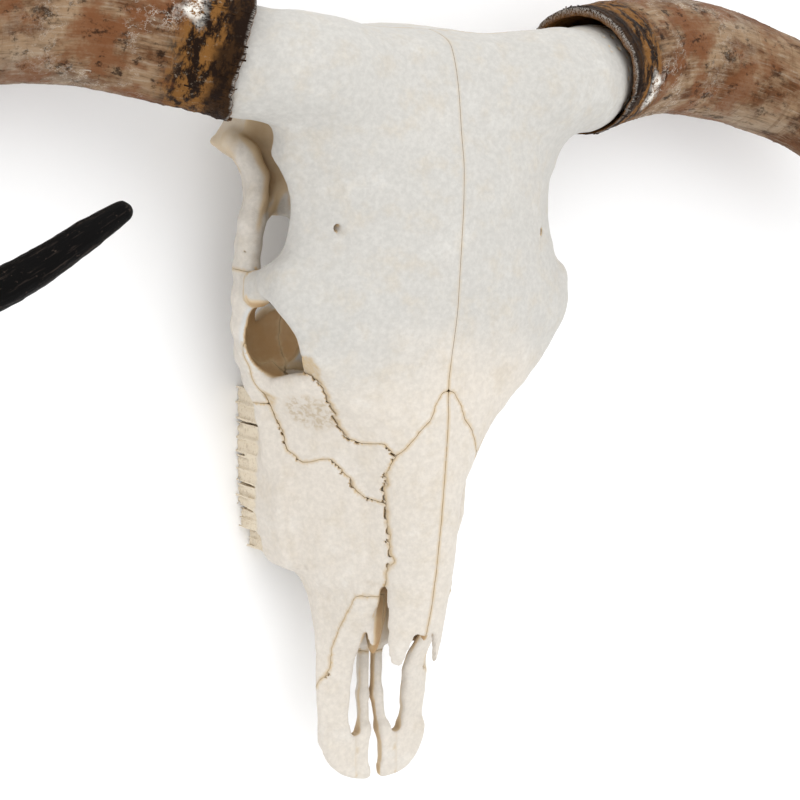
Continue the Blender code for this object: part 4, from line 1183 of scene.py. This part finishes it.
def bone_material(name, group, cool, warm, tan, brown, tooth):
    """Dry bone in the given colours."""
    material = bpy.data.materials.new(name)
    material.use_nodes = True
    tree = material.node_tree
    shader = tree.nodes["Principled BSDF"]
    masks = add(tree, "ShaderNodeAttribute", attribute_name="masks")
    spots = add(tree, "ShaderNodeAttribute", attribute_name="spots")
    place = add(tree, "ShaderNodeTexCoord").outputs["Object"]
    surface = add(tree, "ShaderNodeGroup", node_tree=group)
    for key, value in (("Vector", place), ("Masks", masks.outputs["Color"]),
                       ("Spots", spots.outputs["Color"]), ("Rim", masks.outputs["Alpha"]),
                       ("Hollow", spots.outputs["Alpha"])):
        tree.links.new(value, surface.inputs[key])
    for key, value in (("Cool", cool), ("Warm", warm), ("Tan", tan), ("Brown", brown),
                       ("Tooth", tooth)):
        surface.inputs[key].default_value = (*value, 1)
    bump = add(tree, "ShaderNodeBump", {"Height": surface.outputs["Height"], "Strength": 0.5,
                                        "Distance": 0.0006})
    tree.links.new(surface.outputs["Color"], shader.inputs["Base Color"])
    tree.links.new(surface.outputs["Roughness"], shader.inputs["Roughness"])
    tree.links.new(bump.outputs[0], shader.inputs["Normal"])
    shader.inputs["Specular IOR Level"].default_value = 0.35
    return material


# ---- horn material ----
def horn_material(colours):
    """Keratin: grey rim, dark band, golden ridges, streaked tan body and a black tip."""
    material = bpy.data.materials.new("horn keratin")
    material.use_nodes = True
    tree = material.node_tree
    shader = tree.nodes["Principled BSDF"]
    straight = add(tree, "ShaderNodeAttribute", attribute_name="straight").outputs["Vector"]
    zones = add(tree, "ShaderNodeAttribute", attribute_name="zones")
    rim, reach, inner = split(tree, zones.outputs["Color"])[:3]
    along = add(tree, "ShaderNodeSeparateXYZ", {0: straight}).outputs[2]

    def stretched(x, y, z):
        return add(tree, "ShaderNodeMapping", {"Vector": straight, "Scale": (x, y, z)}).outputs[0]

    streak = cloud(tree, stretched(1, 1, 0.08), 420, 5, 0.65)
    fine_streak = cloud(tree, stretched(1, 1, 0.05), 1300, 3, 0.6)
    blotch = cloud(tree, stretched(1, 1, 0.6), 34, 6, 0.66)
    patch = cloud(tree, stretched(1, 1, 0.8), 15, 4, 0.6)
    crumb = cloud(tree, stretched(1, 1, 0.7), 300, 5, 0.75)
    ring = cloud(tree, stretched(0.12, 0.12, 1), 190, 4, 0.6)
    tan, brown, pale, golden, dark, tip, scuff, ash = [(*colour, 1) for colour in colours]
    colour = paint_over(tree, tan, (
        (blotch, 0.42, 0.60, 1.0, brown), (patch, 0.45, 0.66, 0.6, pale),
        (streak, 0.50, 0.70, 0.55, pale), (streak, 0.50, 0.30, 0.45, dark),
        (ring, 0.54, 0.70, 0.40, brown), (crumb, 0.60, 0.72, 0.60, dark)))
    wobble = sums(tree, "MULTIPLY_ADD", blotch, 0.044, -0.022)
    place = sums(tree, "ADD", along, wobble)
    rust = cloud(tree, stretched(1, 1, 0.7), 26, 5, 0.65)
    russet = times(tree, ramp_between(tree, place, 0.34, 0.10, 0.35, 0.85),
                   ramp_between(tree, rust, 0.47, 0.60))
    colour = mix(tree, russet, colour, (0.155, 0.060, 0.024, 1))
    mottle = cloud(tree, stretched(1, 1, 0.7), 80, 6, 0.75)
    sooty = times(tree, ramp_between(tree, mottle, 0.54, 0.64),
                  ramp_between(tree, place, 0.40, 0.06, 0.35, 0.85))
    colour = mix(tree, sooty, colour, dark)
    web = cloud(tree, stretched(1, 1, 0.8), 110, 6, 0.7)
    web = sums(tree, "ABSOLUTE", sums(tree, "SUBTRACT", web, 0.5))
    vein = times(tree, ramp_between(tree, web, 0.018, 0.004, 0.0, 0.75),
                 ramp_between(tree, place, 0.20, 0.08), ramp_between(tree, patch, 0.44, 0.54))
    colour = mix(tree, vein, colour, (0.55, 0.50, 0.43, 1))
    swirl = cloud(tree, stretched(0.5, 0.5, 1), 120, 5, 0.7)
    gold = paint_over(tree, golden, ((swirl, 0.42, 0.56, 1.0, dark),
                                     (crumb, 0.56, 0.70, 0.5, pale)))
    frayed = paint_over(tree, ash, ((fine_streak, 0.42, 0.58, 1.0, dark),))
    black = sums(tree, "ADD", reach, sums(tree, "MULTIPLY_ADD", patch, 0.12, -0.06))
    scuffed = paint_over(tree, tip, ((crumb, 0.60, 0.68, 0.8, scuff),
                                     (streak, 0.56, 0.70, 0.5, scuff)))
    colour = paint_over(tree, colour, (
        (place, 0.062, 0.040, 1.0, gold), (place, 0.024, 0.012, 0.88, dark),
        (rim, 0.18, 0.5, 1.0, frayed), (black, 0.56, 0.72, 1.0, scuffed)))
    lining = paint_over(tree, golden, ((streak, 0.4, 0.7, 1.0, brown),))
    colour = mix(tree, times(tree, inner, 0.85), colour, lining)
    chalk = times(tree, ramp_between(tree, place, 0.070, 0.058),
                  ramp_between(tree, place, 0.030, 0.042), ramp_between(tree, patch, 0.54, 0.62),
                  ramp_between(tree, crumb, 0.40, 0.52))
    colour = mix(tree, chalk, colour, (0.72, 0.69, 0.63, 1))
    rough = ramp_between(tree, crumb, 0.3, 0.7, 0.48, 0.72)
    rough = sums(tree, "SUBTRACT", rough, ramp_between(tree, reach, 0.6, 0.95, 0.0, 0.16))
    height = sums(tree, "MULTIPLY_ADD", streak, 0.8, times(tree, crumb, 0.7))
    height = sums(tree, "MULTIPLY_ADD", fine_streak, 0.5, height)
    bump = add(tree, "ShaderNodeBump", {"Height": height, "Strength": 0.6, "Distance": 0.0008})
    tree.links.new(colour, shader.inputs["Base Color"])
    tree.links.new(rough, shader.inputs["Roughness"])
    tree.links.new(bump.outputs[0], shader.inputs["Normal"])
    shader.inputs["Specular IOR Level"].default_value = 0.05
    return material


# ---- geometry nodes for the keratin ----
def keratin_tree():
    """Growth rings, fibres and lifted flakes on a sheath."""
    tree = bpy.data.node_groups.new("Keratin growth", "GeometryNodeTree")
    group_sockets(
        tree,
        (("Geometry", "NodeSocketGeometry", None),
         ("Ring spacing", "NodeSocketFloat", 0.008), ("Ring depth", "NodeSocketFloat", 0.001),
         ("Ring reach", "NodeSocketFloat", 0.08),
         ("Fibre width", "NodeSocketFloat", 0.002), ("Fibre depth", "NodeSocketFloat", 0.0003),
         ("Flake density", "NodeSocketFloat", 1000.0), ("Flake length", "NodeSocketFloat", 0.008),
         ("Seed", "NodeSocketInt", 1), ("Finish", "NodeSocketMaterial", None)),
        (("Geometry", "NodeSocketGeometry", None),))
    get = tree.nodes.new("NodeGroupInput").outputs
    straight = add(tree, "GeometryNodeInputNamedAttribute", {"Name": "straight"},
                   data_type="FLOAT_VECTOR").outputs[0]
    along = add(tree, "ShaderNodeSeparateXYZ", {0: straight}).outputs[2]
    wave = sums(tree, "MULTIPLY_ADD", cloud(tree, straight, 30.0, 2), 2.6, -1.3)
    turns = sums(tree, "ADD", sums(tree, "DIVIDE", along, get["Ring spacing"]), wave)
    rings = add(tree, "ShaderNodeTexNoise", {"W": turns, "Scale": 1.0, "Detail": 2.0},
                noise_dimensions="1D").outputs[0]
    fade = ramp_between(tree, along, 0.012, get["Ring reach"], 1.0, 0.14)
    ring = times(tree, sums(tree, "MULTIPLY_ADD", rings, 2.0, -1.0), get["Ring depth"], fade)
    narrow = add(tree, "ShaderNodeVectorMath", {0: straight, 1: (1.0, 1.0, 0.06)},
                 operation="MULTIPLY").outputs[0]
    per_fibre = sums(tree, "DIVIDE", 1.0, get["Fibre width"])
    fibres = add(tree, "ShaderNodeTexNoise", {"Vector": narrow, "Scale": per_fibre,
                                              "Detail": 3.0}).outputs[0]
    fibre = times(tree, sums(tree, "MULTIPLY_ADD", fibres, 2.0, -1.0), get["Fibre depth"])
    lump = sums(tree, "MULTIPLY_ADD", cloud(tree, straight, 48.0, 3), 0.0024, -0.0012)
    height = sums(tree, "ADD", sums(tree, "ADD", ring, fibre), lump)
    normal = tree.nodes.new("GeometryNodeInputNormal").outputs[0]
    offset = add(tree, "ShaderNodeVectorMath", {0: normal, "Scale": height}, operation="SCALE")
    grown = add(tree, "GeometryNodeSetPosition",
                {"Geometry": get["Geometry"], "Offset": offset.outputs[0]}).outputs[0]

    zones = add(tree, "GeometryNodeInputNamedAttribute", {"Name": "zones"},
                data_type="FLOAT_COLOR").outputs[0]
    channels = add(tree, "FunctionNodeSeparateColor", {0: zones}).outputs
    outside = sums(tree, "SUBTRACT", 1.0, channels[2])
    near_rim = add(tree, "ShaderNodeMapRange", {0: along, 1: 0.002, 2: 0.03, 3: 9.0, 4: 1.0})
    not_tip = sums(tree, "SUBTRACT", 1.0, channels[1])
    density = times(tree, outside, near_rim.outputs[0], not_tip, get["Flake density"])
    spots = add(tree, "GeometryNodeDistributePointsOnFaces",
                {"Mesh": grown, "Density": density, "Seed": get["Seed"]})
    block = add(tree, "GeometryNodeMeshCube",
                {"Size": (0.16, 1.0, 0.045), "Vertices X": 2, "Vertices Y": 5, "Vertices Z": 2})
    position = tree.nodes.new("GeometryNodeInputPosition").outputs[0]
    y_place = add(tree, "ShaderNodeSeparateXYZ", {0: position}).outputs[1]
    lift = times(tree, y_place, y_place, 0.22)
    lift_vector = add(tree, "ShaderNodeCombineXYZ", {2: lift}).outputs[0]
    flake = add(tree, "GeometryNodeSetPosition",
                {"Geometry": block.outputs["Mesh"], "Offset": lift_vector}).outputs[0]
    stand = add(tree, "FunctionNodeAlignRotationToVector", {"Vector": spots.outputs["Normal"]},
                axis="Z")
    lengthwise = add(tree, "GeometryNodeInputNamedAttribute", {"Name": "lengthwise"},
                     data_type="FLOAT_VECTOR").outputs[0]
    facing = add(tree, "FunctionNodeAlignRotationToVector",
                 {"Rotation": stand.outputs[0], "Vector": lengthwise}, axis="Y", pivot_axis="Z")
    size = add(tree, "FunctionNodeRandomValue", {2: 0.35, 3: 1.25, "Seed": get["Seed"]},
               data_type="FLOAT").outputs[1]
    size = times(tree, size, get["Flake length"])
    flakes = add(tree, "GeometryNodeInstanceOnPoints",
                 {"Points": spots.outputs["Points"], "Instance": flake,
                  "Rotation": facing.outputs[0], "Scale": size}).outputs[0]
    joined = tree.nodes.new("GeometryNodeJoinGeometry")
    tree.links.new(flakes, joined.inputs[0])
    tree.links.new(grown, joined.inputs[0])
    real = add(tree, "GeometryNodeRealizeInstances", {"Geometry": joined.outputs[0]}).outputs[0]
    painted = add(tree, "GeometryNodeSetMaterial",
                  {"Geometry": real, "Material": get["Finish"]}).outputs[0]
    out = tree.nodes.new("NodeGroupOutput")
    tree.links.new(painted, out.inputs["Geometry"])
    return tree


def settle(thing):
    """Turns the evaluated result into the object's own plain mesh."""
    bpy.context.view_layer.update()
    evaluated = thing.evaluated_get(bpy.context.evaluated_depsgraph_get())
    mesh = bpy.data.meshes.new_from_object(evaluated)
    mesh.name = thing.name
    thing.modifiers.clear()
    old = thing.data
    thing.data = mesh
    bpy.data.meshes.remove(old)


def hand_over(thing, slot, *nodes):
    """Puts a piece on the body, in the place of its solids."""
    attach(thing, "root")
    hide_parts(*nodes)


# ---- settings ----
class BoneSettings(bpy.types.PropertyGroup):
    grid: bpy.props.FloatProperty(name="Grid", description="Spacing of the points on the bone",
                                  default=0.00163, min=0.001, max=0.006, unit="LENGTH")
    relief: bpy.props.FloatProperty(name="Relief", description="Strength of the bone's unevenness",
                                    default=1.0, min=0.0, max=3.0)
    suture_wander: bpy.props.FloatProperty(
        name="Suture wander", description="How far the sutures stray to either side",
        default=0.0012, min=0.0, max=0.005, unit="LENGTH")
    cool: bpy.props.FloatVectorProperty(name="Forehead", description="Bleached bone",
                                        default=(0.490, 0.473, 0.440), size=3, subtype="COLOR")
    warm: bpy.props.FloatVectorProperty(name="Face", description="Creamy bone of the face",
                                        default=(0.590, 0.540, 0.475), size=3, subtype="COLOR")
    # Tan and brown also paint the shade in the bone's hollows, as well as its stain.
    tan: bpy.props.FloatVectorProperty(name="Tan", description="Light stain in the hollows",
                                       default=(0.55, 0.43, 0.28), size=3, subtype="COLOR")
    brown: bpy.props.FloatVectorProperty(name="Brown", description="Deep stain in the hollows",
                                         default=(0.37, 0.225, 0.10), size=3, subtype="COLOR")
    tooth: bpy.props.FloatVectorProperty(name="Tooth", description="Enamel of the cheek teeth",
                                         default=(0.66, 0.57, 0.43), size=3, subtype="COLOR")


class HornSettings(bpy.types.PropertyGroup):
    sides: bpy.props.IntProperty(name="Sides", description="Points round a sheath", default=120,
                                 min=24, max=200)
    spacing: bpy.props.FloatProperty(name="Row spacing", description="Distance between rows",
                                     default=0.0022, min=0.001, max=0.01, unit="LENGTH")
    ring_spacing: bpy.props.FloatProperty(name="Ring spacing", description="Growth ring to ring",
                                          default=0.0062, min=0.002, max=0.03, unit="LENGTH")
    ring_depth: bpy.props.FloatProperty(name="Ring depth", description="Height of growth rings",
                                        default=0.0022, min=0.0, max=0.004, unit="LENGTH")
    ring_reach: bpy.props.FloatProperty(name="Ring reach", description="Where the rings fade out",
                                        default=0.075, min=0.01, max=0.4, unit="LENGTH")
    fibre_width: bpy.props.FloatProperty(name="Fibre width", description="Width of the fibres",
                                         default=0.0042, min=0.001, max=0.02, unit="LENGTH")
    fibre_depth: bpy.props.FloatProperty(name="Fibre depth", description="Depth of the fibres",
                                         default=0.0005, min=0.0, max=0.002, unit="LENGTH")
    flake_density: bpy.props.FloatProperty(name="Flake density", description="Flakes per m2",
                                           default=1500.0, min=0.0, max=9000.0)
    flake_length: bpy.props.FloatProperty(name="Flake length", description="Length of a flake",
                                          default=0.0065, min=0.002, max=0.03, unit="LENGTH")


class StudioSettings(bpy.types.PropertyGroup):
    floor_colour: bpy.props.FloatVectorProperty(name="Floor", description="Colour of the floor",
                                                default=(0.93, 0.93, 0.93), size=3,
                                                subtype="COLOR")
    key_power: bpy.props.FloatProperty(name="Key light", description="Power of the key light",
                                       default=9.0, min=0.0, unit="POWER")
    sky: bpy.props.FloatProperty(name="Fill", description="Strength of the even fill light",
                                 default=1.40, min=0.0)


# ---- operators ----
class SKULL_OT_bones(bpy.types.Operator):
    """Build the thirteen bones, parted along their sutures"""
    bl_idname = "skull.bones"
    bl_label = "Build bones"

    def execute(self, context):
        settings = context.scene.longhorn_bone
        step = settings.grid / MM
        field, rough, block_size = sample_half(step)
        field = untangle(field, step)
        group = bone_surface_group()
        bleached = bone_material("bone", group, settings.cool, settings.warm, settings.tan,
                                 settings.brown, settings.tooth)
        creamy = bone_material("face bone", group, settings.warm, settings.warm, settings.tan,
                               settings.brown, settings.tooth)
        grids = (field, rough, step, block_size)
        reach = settings.suture_wander / MM
        for name, piece_field, cut in bone_fields(field, step, reach):
            low = HALF_LOW.copy()
            if name == "braincase":
                low[0] = -(piece_field.shape[0] - 1) / 2 * step
            points, quads = net_surface(untangle(piece_field, step), low, step)
            points, quads = largest_piece(points, quads)
            points = sharpen(points, field, cut, SUTURE_GAP / 2, step)
            if name == "braincase":
                versions = ((name, points, quads),)
            else:
                turned = points * np.array([-1, 1, 1])
                versions = ((name + "_left", points, quads),
                            (name + "_right", turned, quads[:, ::-1]))
            for node, place, faces in versions:
                bone_piece = finish_bone(node + "_bone", place, faces, grids, cut,
                                         settings.relief)
                face_side = name in FACE_BONES
                bone_piece.data.materials.append(creamy if face_side else bleached)
                hand_over(bone_piece, "face_bone" if face_side else "bone", node)
        return {"FINISHED"}


class SKULL_OT_sheaths(bpy.types.Operator):
    """Build both horn sheaths with their rings, fibres and flakes"""
    bl_idname = "skull.sheaths"
    bl_label = "Build horn sheaths"

    def execute(self, context):
        settings = context.scene.longhorn_horn
        tree = keratin_tree()
        finish = horn_material(KERATIN_COLOURS)
        names = {item.name: item.identifier for item in tree.interface.items_tree
                 if item.in_out == "INPUT"}
        for side, word, curl in ((1, "left", LEFT_CURL), (-1, "right", RIGHT_CURL)):
            sheath = sheath_mesh(f"horn_sheath_{word}", side, curl, settings.sides,
                                 settings.spacing / MM)
            grow = sheath.modifiers.new("growth", "NODES")
            grow.node_group = tree
            for name, value in (
                    ("Ring spacing", settings.ring_spacing), ("Ring depth", settings.ring_depth),
                    ("Ring reach", settings.ring_reach), ("Fibre width", settings.fibre_width),
                    ("Fibre depth", settings.fibre_depth),
                    ("Flake density", settings.flake_density),
                    ("Flake length", settings.flake_length), ("Seed", 7 + side),
                    ("Finish", finish)):
                grow[names[name]] = value
            settle(sheath)
            hand_over(sheath, "horn", *(f"horn_{word}_{part}" for part in SHEATH_PARTS))
        return {"FINISHED"}


class SKULL_OT_studio(bpy.types.Operator):
    """Set the floor, the lights and the camera"""
    bl_idname = "skull.studio"
    bl_label = "Set up studio"

    def execute(self, context):
        settings = context.scene.longhorn_studio
        scene = context.scene
        scene.view_settings.view_transform = "Standard"
        corners = [(x * FLOOR_HALF, y * FLOOR_HALF, 0)
                   for x, y in ((-1, -1), (1, -1), (1, 1), (-1, 1))]
        mesh = bpy.data.meshes.new("studio_floor")
        mesh.from_pydata(corners, [], [(0, 1, 2, 3)])
        floor = bpy.data.objects.new("studio_floor", mesh)
        scene.collection.objects.link(floor)
        paint = bpy.data.materials.new("studio floor")
        paint.use_nodes = True
        shader = paint.node_tree.nodes["Principled BSDF"]
        shader.inputs["Base Color"].default_value = (*settings.floor_colour, 1)
        shader.inputs["Roughness"].default_value = 0.9
        shader.inputs["Specular IOR Level"].default_value = 0.1
        mesh.materials.append(paint)
        world = bpy.data.worlds.new("studio")
        world.use_nodes = True
        sky = world.node_tree.nodes["Background"]
        sky.inputs["Color"].default_value = SKY_TINT
        sky.inputs["Strength"].default_value = settings.sky
        scene.world = world
        lamp = bpy.data.lights.new("key", "AREA")
        lamp.size = KEY_SIZE
        lamp.energy = settings.key_power
        key = bpy.data.objects.new("key", lamp)
        key.location = KEY_PLACE
        direction = Vector(KEY_TARGET) - Vector(KEY_PLACE)
        key.rotation_euler = direction.to_track_quat("-Z", "Y").to_euler()
        scene.collection.objects.link(key)
        camera = bpy.data.objects.new("camera", bpy.data.cameras.new("camera"))
        camera.data.sensor_width = CAMERA_SENSOR
        camera.data.lens = CAMERA_LENS
        back = Vector(CAMERA_BACK).normalized()
        right = Vector(CAMERA_RIGHT).normalized()
        up = back.cross(right)
        turn = Matrix((right, up, back)).transposed().to_4x4()
        camera.matrix_world = rest_matrix() @ Matrix.Translation(CAMERA_PLACE) @ turn
        scene.collection.objects.link(camera)
        scene.camera = camera
        return {"FINISHED"}


class SKULL_PT_panel(bpy.types.Panel):
    """Lists the skull's operators"""
    bl_label = "Longhorn skull"
    bl_idname = "SKULL_PT_panel"
    bl_space_type = "VIEW_3D"
    bl_region_type = "UI"
    bl_category = "Skull"

    def draw(self, context):
        for operator, settings in (("skull.bones", "longhorn_bone"),
                                   ("skull.sheaths", "longhorn_horn"),
                                   ("skull.studio", "longhorn_studio")):
            box = self.layout.box()
            box.operator(operator)
            group = getattr(context.scene, settings)
            for key in group.bl_rna.properties.keys():
                if key not in ("rna_type", "name"):
                    box.prop(group, key)


CLASSES = (BoneSettings, HornSettings, StudioSettings, SKULL_OT_bones, SKULL_OT_sheaths,
           SKULL_OT_studio, SKULL_PT_panel)
SETTINGS = (("longhorn_bone", BoneSettings), ("longhorn_horn", HornSettings),
            ("longhorn_studio", StudioSettings))


def register():
    for item in CLASSES:
        bpy.utils.register_class(item)
    for name, group in SETTINGS:
        setattr(bpy.types.Scene, name, bpy.props.PointerProperty(type=group))


def unregister():
    for name, _ in SETTINGS:
        delattr(bpy.types.Scene, name)
    for item in reversed(CLASSES):
        bpy.utils.unregister_class(item)


def main():
    register()
    bpy.ops.skull.bones()
    bpy.ops.skull.sheaths()
    bpy.ops.skull.studio()


if __name__ == "__main__":
    main()
